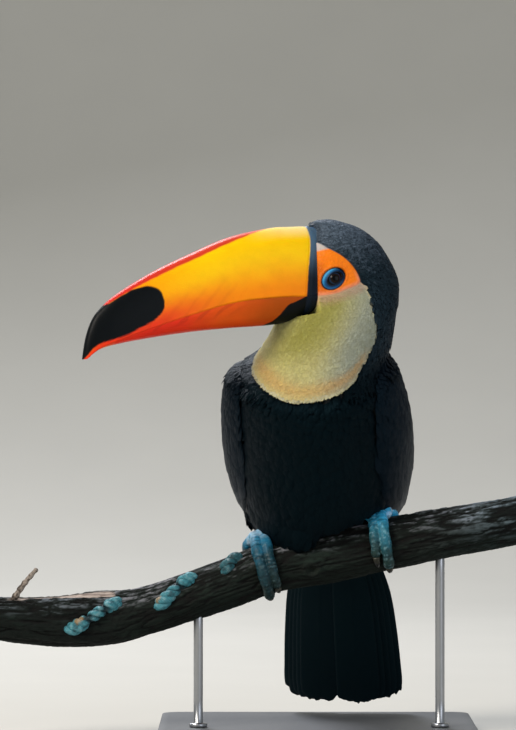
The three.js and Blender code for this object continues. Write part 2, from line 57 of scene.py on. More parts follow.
Box = tuple[float, float, float, float]
LOG = logging.getLogger("toucan")
MM = 0.001
FULL_TURN = 2 * math.pi
# How far a vane may bend over a millimetre: hollow and bulging.
BEND_LIMITS = (-0.02, 0.12)
UNIT_PATCH = 0.003
# A share and a distance in millimetres that count as off an eye.
FAR = 9
GOLDEN_STEPS = (0.7548776662466927, 0.5698402909980532)
# The part of the unwrap that the body's skin fills: left, bottom, right, top.
BODY_PATCH = (0.0, 0.0, 1.0, 0.86)


# ---- numbers and small helpers


def linear(hex_colour: str) -> Array:
    """Turn an sRGB hex colour into linear red, green and blue."""
    digits = hex_colour.lstrip("#")
    srgb = np.array([int(digits[i:i + 2], 16) / 255 for i in (0, 2, 4)])
    return np.where(srgb <= 0.04045, srgb / 12.92, ((srgb + 0.055) / 1.055) ** 2.4)


def smooth(low: float, high: float, value: Array) -> Array:
    """Rise from 0 at low to 1 at high with level ends; low may be above high."""
    share = np.clip((value - low) / (high - low), 0, 1)
    return share * share * (3 - 2 * share)


def blend(first: Array, second: Array, share: Array) -> Array:
    """Mix two colours or colour arrays by a share for each point."""
    weight = np.asarray(share)[..., None]
    return first * (1 - weight) + second * weight


def even(points: Array, hex_colour: str) -> Array:
    """The same linear colour for every point, or for every item of a last axis of one."""
    return np.zeros(points.shape[:-1] + (3,)) + linear(hex_colour)


def painted(base: Array, *layers: tuple[str, Array]) -> Array:
    """Lay hex colours over a base in turn, each by its own share at every point."""
    for hex_colour, share in layers:
        base = blend(base, linear(hex_colour), share)
    return base


def bell(value: Array, middle: float, width: float) -> Array:
    """Rise to 1 at the middle: exp(-((value - middle) / width)^2)."""
    return np.exp(-(((value - middle) / width) ** 2))


def signed(degrees: Array) -> Array:
    """An angle brought to between -180 and 180."""
    return (np.asarray(degrees) + 180) % 360 - 180


def ring_angles(count: int) -> Array:
    """Evenly spaced angles of a full turn in radians, the first at 0."""
    return np.arange(count) / count * FULL_TURN


def swollen(grid: Array, share: Array) -> Array:
    """A tube's grid with each point moved out from its ring's middle by a share of its radius."""
    middle = grid.mean(axis=1, keepdims=True)
    return middle + (grid - middle) * (1 + share[..., None])


def between(ends: Pair, share: Array) -> Array:
    """The value at a share of the way from the first end to the second."""
    return ends[0] + (ends[1] - ends[0]) * share


def crossed(rows: Array, columns: Array) -> Arrays:
    """Row and column values at each place of a grid."""
    return np.meshgrid(rows, columns, indexing="ij")


def in_scene(name: str, data: bpy.types.ID) -> bpy.types.Object:
    """Put mesh, lamp or camera data into the scene as an object."""
    made = bpy.data.objects.new(name, data)
    bpy.context.scene.collection.objects.link(made)
    return made


def run_length(path: Array) -> Array:
    """Length of a path up to each of its points."""
    return np.concatenate([[0], np.cumsum(np.linalg.norm(np.diff(path, axis=0), axis=1))])


def unit(vectors: Array) -> Array:
    """Scale vectors to length one."""
    return vectors / np.maximum(np.linalg.norm(vectors, axis=-1, keepdims=True), 1e-9)


def dot(first: Array, second: Array) -> Array:
    """Dot product over the last axis."""
    return (first * second).sum(-1)


def level_vector(degrees: Array) -> Array:
    """Level unit vector at a heading measured from -Y towards -X."""
    heading = np.radians(degrees)
    return np.stack([-np.sin(heading), -np.cos(heading), 0 * heading], -1)


def row_at(rows: Array, at: Array) -> Array:
    """Read a table of rows at values of its first column.

    Cubic between rows: each row's slope is the rise between its two neighbours, and the
    first and last rows take the slope of their own step.

    Args:
        rows: Table whose first column rises.
        at: Values to read it at.

    Returns:
        One row for each value, on a new last axis.
    """
    at = np.asarray(at, float)
    last = len(rows) - 1
    i = np.clip(np.searchsorted(rows[:, 0], at) - 1, 0, last - 1)
    before, here = rows[np.maximum(i - 1, 0)], rows[i]
    there, after = rows[i + 1], rows[np.minimum(i + 2, last)]
    step = there[..., :1] - here[..., :1]
    t = np.clip((at[..., None] - here[..., :1]) / step, 0, 1)
    leave = (there - before) / (there[..., :1] - before[..., :1]) * step
    arrive = (after - here) / (after[..., :1] - here[..., :1]) * step
    ease = t * t * (3 - 2 * t)
    mixed = here * (1 - ease) + there * ease
    return mixed + leave * t * (1 - t) ** 2 - arrive * t * t * (1 - t)


def lattice_noise(points: Array, seed: int) -> Array:
    """Smooth noise from -1 to 1: hashed values at whole-number corners, eased between them."""
    cell = np.floor(points).astype(np.int64)
    part = points - cell
    part = part * part * (3 - 2 * part)
    total = np.zeros(points.shape[:-1])
    for corner in product((0, 1), repeat=3):
        spot = (cell + corner).astype(np.uint32)
        mixed = spot[..., 0] * np.uint32(374761393) + spot[..., 1] * np.uint32(668265263)
        mixed = mixed + spot[..., 2] * np.uint32(2246822519) + np.uint32(seed * 3266489917 % 2**32)
        mixed = (mixed ^ (mixed >> np.uint32(13))) * np.uint32(1274126177)
        value = (mixed ^ (mixed >> np.uint32(16))).astype(float) / 2**31 - 1
        total += value * np.prod(np.where(corner, part, 1 - part), axis=-1)
    return total


def rough_noise(points: Array, seed: int, octaves: int = 3) -> Array:
    """Sum of noises, each twice as fine and half as strong as the one before."""
    return sum(lattice_noise(points * 2**k, seed + k) / 2**k for k in range(octaves))


def edge_distance(points: Array, outline: Array) -> Array:
    """Distance from points to a closed outline, positive inside it.

    Args:
        points: Places on a plane, last axis of two.
        outline: Corners of the outline in order.

    Returns:
        Signed distance for each point.
    """
    nearest = np.full(points.shape[:-1], np.inf)
    inside = np.zeros(points.shape[:-1], bool)
    for a, b in zip(outline, np.roll(outline, -1, axis=0)):
        side = b - a
        share = np.clip(((points - a) @ side) / (side @ side), 0, 1)
        nearest = np.minimum(nearest, np.linalg.norm(points - a - share[..., None] * side, axis=-1))
        crosses = (a[1] > points[..., 1]) != (b[1] > points[..., 1])
        rise = side[1] if side[1] else 1e-9
        inside ^= crosses & (points[..., 0] < side[0] * (points[..., 1] - a[1]) / rise + a[0])
    return np.where(inside, nearest, -nearest)


def rounded(outline: Array, steps: int = 5) -> Array:
    """Closed smooth curve through an outline's corners, as a Catmull-Rom spline."""
    outline = np.asarray(outline, float)
    a, b, c, d = (np.roll(outline, k, axis=0) for k in (1, 0, -1, -2))
    t = np.arange(steps)[:, None, None] / steps
    curve = 2 * b + (c - a) * t + (2 * a - 5 * b + 4 * c - d) * t**2
    curve = curve + (3 * b - a - 3 * c + d) * t**3
    return curve.transpose(1, 0, 2).reshape(-1, 2) / 2


# ---- meshes from arrays


@dataclass
class Shell:
    """Points and faces of a surface in millimetres, with values kept at points and corners."""

    points: Array
    quads: Array
    triangles: Array = field(default_factory=lambda: np.zeros((0, 3), np.int64))
    colours: Array | None = None
    values: dict[str, Array] = field(default_factory=dict)
    maps: dict[str, Array] = field(default_factory=dict)

    def corners(self) -> Array:
        """Point numbers of all face corners in order, quads first."""
        return np.concatenate([self.quads.ravel(), self.triangles.ravel()])

    def facing_out(self) -> "Shell":
        """Turn every face over if the closed surface's signed volume is negative."""
        quads, p = self.quads, self.points
        halves = np.concatenate([quads[:, [0, 1, 2]], quads[:, [0, 2, 3]], self.triangles])
        a, b, c = (p[halves[:, k]] for k in range(3))
        if dot(np.cross(a, b), c).sum() >= 0:
            return self
        split = quads.size
        maps = {name: np.concatenate([uv[:split].reshape(-1, 4, 2)[:, ::-1].reshape(-1, 2),
                                      uv[split:].reshape(-1, 3, 2)[:, ::-1].reshape(-1, 2)])
                for name, uv in self.maps.items()}
        return Shell(p, quads[:, ::-1], self.triangles[:, ::-1], self.colours, self.values, maps)


def closed_shell(grid: Array, colours: Array | None = None, values: dict[str, Array] | None = None,
                 box: Box = (0, 0, 1, 1),
                 shares: Arrays | None = None) -> Shell:
    """Close a grid that wraps round its columns and draws to a point at its first and last row.

    Args:
        grid: Points, rows by columns; the first and last row each become one point.
        colours: Linear colour of each grid point.
        values: Further numbers for each grid point.
        box: The part of the unwrap that it fills: left, bottom, right, top.
        shares: Where the rows and the columns lie across the box, from 0 to 1; even if left out.

    Returns:
        The shell, facing out, with its unwrap as OFBake.
    """
    rows, columns = grid.shape[:2]

    def flat(array: Array) -> Array:
        return np.concatenate([array[:1].mean(axis=1), array[1:-1].reshape(-1, *array.shape[2:]),
                               array[-1:].mean(axis=1)])

    ids = 1 + (np.arange(rows)[:, None] - 1) * columns + np.arange(columns + 1) % columns
    ids[0] = 0
    ids[-1] = (rows - 2) * columns + 1
    row_share, column_share = shares or (np.linspace(0, 1, rows), np.linspace(0, 1, columns + 1))
    v = (box[1] + (box[3] - box[1]) * row_share)[:, None] + np.zeros(columns + 1)
    u = box[0] + (box[2] - box[0]) * column_share + np.zeros((rows, 1))
    uv = np.stack([u, v], -1)

    def cells(array: Array) -> Array:
        return np.stack([array[:-1, :-1], array[1:, :-1], array[1:, 1:], array[:-1, 1:]], 2)

    faces, spots = cells(ids), cells(uv)
    first, last = ([0, 1, 2], [0, 1, 3])
    triangles = np.concatenate([faces[0][:, first], faces[-1][:, last]])
    uvs = (spots[1:-1], spots[0][:, first], spots[-1][:, last])
    return Shell(
        flat(grid), faces[1:-1].reshape(-1, 4), triangles,
        None if colours is None else flat(colours),
        {name: flat(array) for name, array in (values or {}).items()},
        {"OFBake": np.concatenate([uv.reshape(-1, 2) for uv in uvs])}).facing_out()


def joined(shells: list[Shell]) -> Shell:
    """Put several shells into one; they carry the same kinds of values."""
    starts = np.cumsum([0] + [len(s.points) for s in shells[:-1]])
    first = shells[0]
    points = np.concatenate([s.points for s in shells])
    quads, triangles = (np.concatenate([getattr(s, kind) + n for s, n in zip(shells, starts)])
                        for kind in ("quads", "triangles"))
    colours = None if first.colours is None else np.concatenate([s.colours for s in shells])
    values = {name: np.concatenate([s.values[name] for s in shells]) for name in first.values}
    maps = {name: np.concatenate([s.maps[name][:s.quads.size] for s in shells]
                                 + [s.maps[name][s.quads.size:] for s in shells])
            for name in first.maps}
    return Shell(points, quads, triangles, colours, values, maps)


def make_piece(name: str, shell: Shell, finish: "Finish", *stands_for: str) -> None:
    """Write a shell into a mesh object with smooth faces that rides on the part.

    Args:
        name: The piece's name.
        shell: Its points, faces, colours, values and unwraps.
        finish: Its finish, whose material the mesh takes.
        *stands_for: The CAD nodes it replaces.
    """
    def fill(data: bpy.types.bpy_prop_collection, key: str, array: Array, kind: type) -> None:
        data.foreach_set(key, array.astype(kind).ravel())

    mesh = bpy.data.meshes.new(name)
    mesh.vertices.add(len(shell.points))
    fill(mesh.vertices, "co", shell.points * MM, np.float32)
    corners = shell.corners()
    mesh.loops.add(len(corners))
    fill(mesh.loops, "vertex_index", corners, np.int32)
    sizes = np.repeat([4, 3], [len(shell.quads), len(shell.triangles)])
    mesh.polygons.add(len(sizes))
    fill(mesh.polygons, "loop_start", np.cumsum(sizes) - sizes, np.int32)
    fill(mesh.polygons, "use_smooth", sizes > 0, bool)
    for uv_name, uv in shell.maps.items():
        fill(mesh.uv_layers.new(name=uv_name).data, "uv", uv, np.float32)
    if shell.colours is not None:
        rgba = np.concatenate([shell.colours, np.ones((len(shell.points), 1))], axis=1)
        fill(mesh.attributes.new("tint", "FLOAT_COLOR", "POINT").data, "color", rgba, np.float32)
    for key, value in shell.values.items():
        fill(mesh.attributes.new(key, "FLOAT", "POINT").data, "value", value, np.float32)
    mesh.update(calc_edges=True)
    mesh.validate()
    mesh.materials.append(finish.material())
    piece = in_scene(name, mesh)
    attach(piece, "root")
    if stands_for:
        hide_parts(*stands_for)
    LOG.info("%s: %d triangles", name, 2 * len(shell.quads) + len(shell.triangles))


def fused(shells: list[Shell], cell: float) -> Shell:
    """Melt overlapping closed shells into one surface of small even faces.

    Args:
        shells: The shells.
        cell: Size of the faces in millimetres.

    Returns:
        The surface of their union.
    """
    whole = joined([Shell(s.points, s.quads, s.triangles) for s in shells])
    mesh = bpy.data.meshes.new("loose")
    faces = whole.quads.tolist() + whole.triangles.tolist()
    mesh.from_pydata(whole.points * MM, [], faces)
    loose = in_scene("loose", mesh)
    melt = loose.modifiers.new("melt", "REMESH")
    melt.mode, melt.voxel_size, melt.adaptivity = "VOXEL", cell * MM, 0
    bpy.context.view_layer.update()
    made = loose.evaluated_get(bpy.context.evaluated_depsgraph_get()).to_mesh()
    points = np.empty(len(made.vertices) * 3, np.float32)
    made.vertices.foreach_get("co", points)
    corners = np.empty(len(made.loops), np.int32)
    made.loops.foreach_get("vertex_index", corners)
    quads = corners.astype(np.int64).reshape(-1, 4)
    points = points.reshape(-1, 3).astype(float) / MM
    bpy.data.objects.remove(loose)
    bpy.data.meshes.remove(mesh)
    return Shell(points, quads)


def point_normals(shell: Shell) -> Array:
    """Outward normal at each point of a shell of quads."""
    p, q = shell.points, shell.quads
    face = np.cross(p[q[:, 2]] - p[q[:, 0]], p[q[:, 3]] - p[q[:, 1]])
    total = np.zeros(p.shape)
    for k in range(4):
        np.add.at(total, q[:, k], face)
    return unit(total)


def tube_grid(centres: Array, radii: Array, side: Array, count: int) -> Array:
    """Carry a circle along a path.

    Each ring lies square to the path: its first axis is side made square to the path's
    direction, its second is their cross product, and a point is the centre plus the radius
    times cos and sin along the two.

    Args:
        centres: Points of the path.
        radii: Radius at each point, or at each point and place round it.
        side: A vector that is never along the path.
        count: Points in a ring.

    Returns:
        Grid of points, rings by places round them.
    """
    along = unit(np.gradient(centres, axis=0))
    across = unit(side - dot(along, side)[:, None] * along)
    outward = np.cross(along, across)
    turn = ring_angles(count)
    reach = np.broadcast_to(np.asarray(radii).reshape(len(centres), -1), (len(centres), count))
    ring = across[:, None] * np.cos(turn)[:, None] + outward[:, None] * np.sin(turn)[:, None]
    return centres[:, None] + ring * reach[..., None]


def round_ends(share: Array, part: float) -> Array:
    """Radius factor that closes both ends of a tube roundly over a part of its length."""
    short = 1 - np.minimum(np.minimum(share, 1 - share) / part, 1)
    return np.sqrt(np.maximum(1 - short * short, 0))


def pole_spaced(count: int) -> Array:
    """Shares from 0 to 1 that crowd towards both ends."""
    return (1 - np.cos(np.pi * np.linspace(0, 1, count))) / 2


def spread(low: float, high: float, count: int, density: Callable[[Array], Array]) -> Array:
    """Values from low to high, closer together where the density is higher."""
    at = np.linspace(low, high, 4001)
    total = np.cumsum(density(at))
    return np.interp(np.linspace(total[0], total[-1], count), total, at)


# ---- the forms


class Form:
    """A surface of two parameters that feathers can grow on."""

    def place(self, u: Array, v: Array) -> Array:
        """Point of the surface in millimetres."""
        raise NotImplementedError

    def smooth_place(self, u: Array, v: Array) -> Array:
        """Point of the surface without its small steps, for normals and slopes."""
        return self.place(u, v)

    def slopes(self, u: Array, v: Array) -> Arrays:
        """Change of place with u, with v, and the outward normal, by small differences."""
        h = 0.02
        along = (self.smooth_place(u + h, v) - self.smooth_place(u - h, v)) / (2 * h)
        around = (self.smooth_place(u, v + h) - self.smooth_place(u, v - h)) / (2 * h)
        return along, around, unit(np.cross(along, around))

    def moved(self, u: Array, v: Array, heading: Array, by: Array = 1.0) -> Arrays:
        """Where one comes to by a distance along a heading, resolved by the two slopes."""
        along, across, _ = self.slopes(u, v)
        aa, bb, ab = dot(along, along), dot(across, across), dot(along, across)
        ha, hb = dot(heading, along), dot(heading, across)
        whole = np.maximum(aa * bb - ab * ab, 1e-6)
        return u + by * (ha * bb - hb * ab) / whole, v + by * (hb * aa - ha * ab) / whole

    def bend(self, u: Array, v: Array, heading: Array) -> Array:
        """How far the normal turns over a millimetre of a heading; positive where it bulges."""
        ahead, here = self.slopes(*self.moved(u, v, heading))[2], self.slopes(u, v)[2]
        return np.clip(dot(ahead - here, heading), *BEND_LIMITS)


# The body's sections from crown to rump: number, centre x, y, z, x and y of the unit vector
# down the body, heading of the first axis, and the reach along it and each quarter turn on.
BODY_SECTIONS = np.array([
    [0, -1.8, -21.9, 390.3, 0.227, 0.083, 70, 0, 0, 0, 0],
    [1, -0.5, -21.2, 389.1, 0.227, 0.083, 70, 8, 9, 9, 9],
    [2, 6.8, -18.8, 386.7, 0.227, 0.083, 70, 14, 15.5, 11, 15.5],
    [3, 12.3, -16.8, 380, 0.227, 0.083, 70, 27, 21, 19.5, 21],
    [4, 17, -15, 367.9, 0.227, 0.083, 70, 38, 25.5, 28.5, 25.5],
    [5, 21.4, -13.5, 353.5, 0.227, 0.083, 70, 45, 27.5, 33.5, 27.5],
    [6, 24.2, -12.6, 339, 0.22, 0.09, 71, 50, 30, 37, 29.5],
    [7, 18.5, -13, 325, 0.19, 0.13, 75, 53, 36, 43, 33],
    [8, 10.5, -12.5, 311, 0.15, 0.2, 82, 50, 42, 48, 37],
    [9, 4, -10, 298, 0.12, 0.28, 90, 50.5, 46, 52, 39],
    [10, -2, -7, 284, 0.09, 0.36, 95, 58, 51, 55, 40.5],
    [11, -3.5, -4, 270, 0.08, 0.45, 98, 63, 58, 62, 42],
    [12, -1.5, 8, 244, 0.1, 0.63, 99, 66, 62, 66, 46],
    [13, 0, 30, 217, 0.108, 0.685, 99, 64, 73, 67, 45],
    [14, 1, 50, 192, 0.1, 0.635, 99, 57, 73, 65, 38],
    [15, 10, 68, 170, 0.087, 0.553, 99, 51, 42, 53, 30],
    [16, 13, 82, 146, 0.073, 0.464, 99, 36, 22, 37, 18],
    [17, 14.5, 91, 128, 0.068, 0.433, 99, 31, 11, 31, 10],
    [18, 15.5, 96, 118, 0.068, 0.433, 99, 0, 0, 0, 0],
])
# A folded wing: section number, angles of its two edges from the chest, thickness.
WING_SECTIONS = np.array([
    [9.65, 86, 92, 1.5],
    [10.1, 66, 112, 4.5],
    [10.8, 56, 130, 6.5],
    [12, 50, 146, 7],
    [13.2, 57, 156, 7],
    [14.4, 80, 162, 6.5],
    [15.4, 108, 165, 5.5],
    [16.2, 132, 166, 4],
    [16.7, 150, 162, 1.5],
])
CHEST_ANGLE = 90
HEAD_AXIS = np.array([20.0, -14.0, 0.0])
BILL_HEADING = 70
HEAD_FRONT = 30
AHEAD = level_vector(np.array(float(BILL_HEADING)))
HEAD_LEFT = level_vector(np.array(BILL_HEADING - 90.0))
# The middle of the bill's root, which the head's feathers point away from.
BILL_ROOT = HEAD_AXIS + AHEAD * 42 + np.array([0, 0, 350])


class Side(Enum):
    """The bird's own left and right."""

    LEFT = 1
    RIGHT = -1

    @property
    def word(self) -> str:
        """The side's name in lower case."""
        return self.name.lower()


@dataclass
class BodyForm(Form):
    """The body from crown to rump: u is the section number, v the angle round it in degrees.

    A point is the section's centre plus its first axis times cos of the angle and its second
    axis times sin, each scaled by the reach on that side. The folded wings stand out of it.
    """

    crown_end: float = 0.12
    rump_end: float = 17.88
    belly_tuck: float = 0.25

    def smooth_place(self, u: Array, v: Array) -> Array:
        """Point of the body without its wings; the belly is drawn in where it meets the perch."""
        row = row_at(BODY_SECTIONS, np.clip(u, 0, 18))
        down = np.stack([row[..., 4], row[..., 5],
                         -np.sqrt(1 - row[..., 4] ** 2 - row[..., 5] ** 2)], -1)
        first = level_vector(row[..., 6])
        first = unit(first - dot(first, down)[..., None] * down)
        second = np.cross(first, down)
        turn = np.radians(v)
        c, s = np.cos(turn), np.sin(turn)
        reach_a = c * np.maximum(np.where(c > 0, row[..., 7], row[..., 9]), 0)
        reach_b = s * np.maximum(np.where(s > 0, row[..., 8], row[..., 10]), 0)
        tuck = smooth(13.0, 14.0, u) * smooth(16.2, 15.2, u)
        tuck = tuck * smooth(86, 112, v) * smooth(156, 130, v)
        reach_b = reach_b * (1 - self.belly_tuck * tuck)
        return row[..., 1:4] + first * reach_a[..., None] + second * reach_b[..., None]

    def slopes(self, u: Array, v: Array) -> Arrays:
        """Slopes and normal, kept just clear of the two ends where rings shrink to a point."""
        return super().slopes(np.clip(u, self.crown_end, self.rump_end), v)

    def wing_rise(self, u: Array, v: Array) -> Array:
        """How far a folded wing lifts the surface: its thickness, rounded off to both edges."""
        row = row_at(WING_SECTIONS, np.clip(u, WING_SECTIONS[0, 0], WING_SECTIONS[-1, 0]))
        from_chest = np.abs(signed(np.asarray(v) - CHEST_ANGLE))
        across = (2 * from_chest - row[..., 1] - row[..., 2]) / (row[..., 2] - row[..., 1])
        inside = (u > WING_SECTIONS[0, 0]) & (u < WING_SECTIONS[-1, 0]) & (np.abs(across) < 1)
        return np.where(inside, row[..., 3] * np.maximum(1 - across**2, 0) ** 0.4, 0)

    def depth(self, u: Array) -> Array:
        """Depth of the coat: thin on the head, deeper down the body."""
        return 1.3 + 2.4 * smooth(6.5, 11, u) + 1.2 * smooth(13, 16, u)

    def place(self, u: Array, v: Array) -> Array:
        """Point of the skin: the body and its wings, less the depth of the coat."""
        normal = self.slopes(u, v)[2]
        rise = self.wing_rise(u, v) - self.depth(u)
        return self.smooth_place(u, v) + normal * rise[..., None]


@dataclass
class WingForm(Form):
    """A folded wing: u runs from shoulder 0 to tip 1, v from its front edge -1 to its back 1."""

    side: Side
    body: BodyForm

    def body_spot(self, u: Array, v: Array) -> Arrays:
        """Section number and angle of a place on the wing."""
        section = between(WING_SECTIONS[[0, -1], 0], np.clip(u, 0, 1))
        row = row_at(WING_SECTIONS, section)
        from_chest = (row[..., 1] + row[..., 2] + v * (row[..., 2] - row[..., 1])) / 2
        return section, CHEST_ANGLE + from_chest * self.side.value

    def smooth_place(self, u: Array, v: Array) -> Array:
        """Point of the wing's outer surface, kept clear of its steep edges."""
        section, angle = self.body_spot(u, np.clip(v, -0.9, 0.9))
        rise = self.body.wing_rise(section, angle)
        point = self.body.smooth_place(section, angle)
        return point + self.body.slopes(section, angle)[2] * rise[..., None]

    def slopes(self, u: Array, v: Array) -> Arrays:
        """Slopes, with the normal turned outwards on both sides."""
        along, around, normal = super().slopes(np.clip(u, 0.03, 0.97), np.clip(v, -0.85, 0.85))
        return along, around, normal * self.side.value

    def place(self, u: Array, v: Array) -> Array:
        """Point of the wing's skin."""
        section, angle = self.body_spot(u, v)
        return self.body.place(section, angle)


def bill_coordinates(points: Array) -> Arrays:
    """Distance ahead of the head's axis, distance to its left and height of points."""
    from_axis = points - HEAD_AXIS
    return dot(from_axis, AHEAD), dot(from_axis, HEAD_LEFT), points[..., 2]


# ---- markings

# The bib's outline as angle round the body and section number, and the bare face's, which is
# alike on both sides.
BIB_OUTLINE = [
    (86.5, 5.58), (92, 6.15), (105.5, 6.9), (118, 7.5), (128, 7.96), (133, 8.41), (133, 9.1),
    (131, 9.5), (128, 9.86), (122, 10.08), (115, 10.23), (104, 10.36), (90, 10.43), (80, 10.45),
    (70, 10.33), (58, 10.12), (46, 9.89), (32, 9.62), (20, 9.4), (5, 9.09), (-15, 8.75),
    (-40, 8.35), (-65, 7.9), (-88, 7.3), (-97, 6.7), (-94, 6.25), (-84, 5.7), (-64, 5.5),
    (-40, 5.5), (0, 5.5), (40, 5.5), (64, 5.5),
]
FACE_OUTLINE = [
    (26, 3.1), (46, 3.2), (60, 3.58), (72, 3.98), (80.5, 4.46), (85.5, 4.98), (87, 5.4), (86, 5.62),
    (80, 5.72), (72, 5.78), (64, 5.84), (53, 5.82), (40, 5.74), (26, 5.7), (14, 4.4),
]
# Millimetres that one degree and one section stand for near the face and bib.
MM_PER_DEGREE = 0.78
MM_PER_SECTION = 13.2


BIB_EDGE = rounded(BIB_OUTLINE) * (MM_PER_DEGREE, MM_PER_SECTION)
FACE_EDGE = rounded(FACE_OUTLINE) * (MM_PER_DEGREE, MM_PER_SECTION)


@dataclass
class EyePlace:
    """Where an eye sits in the face, and the shape of its lids and of the blue ring round them."""

    side: Side
    radius: float = 8.4
    forward: float = 16.5
    out: float = 18.0
    height: float = 345.9
    face_depth: float = 6.9
    tilt: float = 38.0
    ring: Pair = (8.9, 6.9)
    opening: Pair = (5.9, 3.9)
    opening_shift: Pair = (1.1, -0.6)
    lid: float = 0.55

    def __post_init__(self) -> None:
        """Work out the eye's centre and its own three directions."""
        sideways = HEAD_LEFT * self.side.value
        self.centre = HEAD_AXIS + AHEAD * self.forward + sideways * self.out
        self.centre = self.centre + np.array([0, 0, self.height])
        self.outward = unit(AHEAD * 0.33 + sideways * 0.94 + np.array([0, 0, 0.09]))
        self.backward = unit(np.cross([0, 0, 1], self.outward)) * self.side.value
        self.upward = np.cross(self.outward, self.backward) * self.side.value

    def local(self, points: Array) -> Arrays:
        """Distances of points from the lids' middle: along the ring's long axis, across, out."""
        from_face = points - self.centre - self.outward * self.face_depth
        back, up = dot(from_face, self.backward), dot(from_face, self.upward)
        c, s = math.cos(math.radians(self.tilt)), math.sin(math.radians(self.tilt))
        return back * c + up * s, up * c - back * s, dot(from_face, self.outward)

    def share(self, points: Array, radii: Pair, shift: Pair = (0, 0)) -> Array:
        """0 in an ellipse's middle and 1 on its edge; large where the eye is far away."""
        a, b, out = self.local(points)
        near = np.hypot((a - shift[0]) / radii[0], (b - shift[1]) / radii[1])
        return np.where(np.abs(out) < FAR, near, FAR)

    def shares(self, points: Array) -> Arrays:
        """Shares of the ring and of the opening between the lids."""
        opening = self.share(points, self.opening, self.opening_shift)
        return self.share(points, self.ring), opening

    def relief(self, points: Array) -> Array:
        """Height of the lids and ring over the face, in millimetres.

        By the opening the skin is a lid over the ball: it lies at the ball's own height
        sqrt(R^2 - r^2) less the face's depth, plus the lid's thickness, with a rounded rim, and
        drops behind the ball inside. The ring is a low cushion with fine folds, in a groove.
        """
        ring, opening = self.shares(points)
        a, b, out = self.local(points)
        ball = np.sqrt(np.maximum(self.radius**2 - a * a - b * b, 4)) - self.face_depth
        rim = 0.35 * bell(opening, 1.12, 0.12)
        lid = ball + self.lid + rim - 3.2 * smooth(1.0, 0.82, opening) - out
        cushion = 0.8 * smooth(1.04, 0.78, ring)
        folds = 0.07 * np.sin(ring * 34) * smooth(1.0, 0.9, ring) * smooth(1.3, 1.5, opening)
        groove = -0.4 * bell(ring, 1.07, 0.06)
        brow = 0.3 * bell(ring, 1.24, 0.09)
        height = cushion + folds + groove + brow
        return np.where(ring < 3, height + (lid - height) * smooth(1.75, 1.1, opening), 0)


EYES = [EyePlace(side) for side in Side]


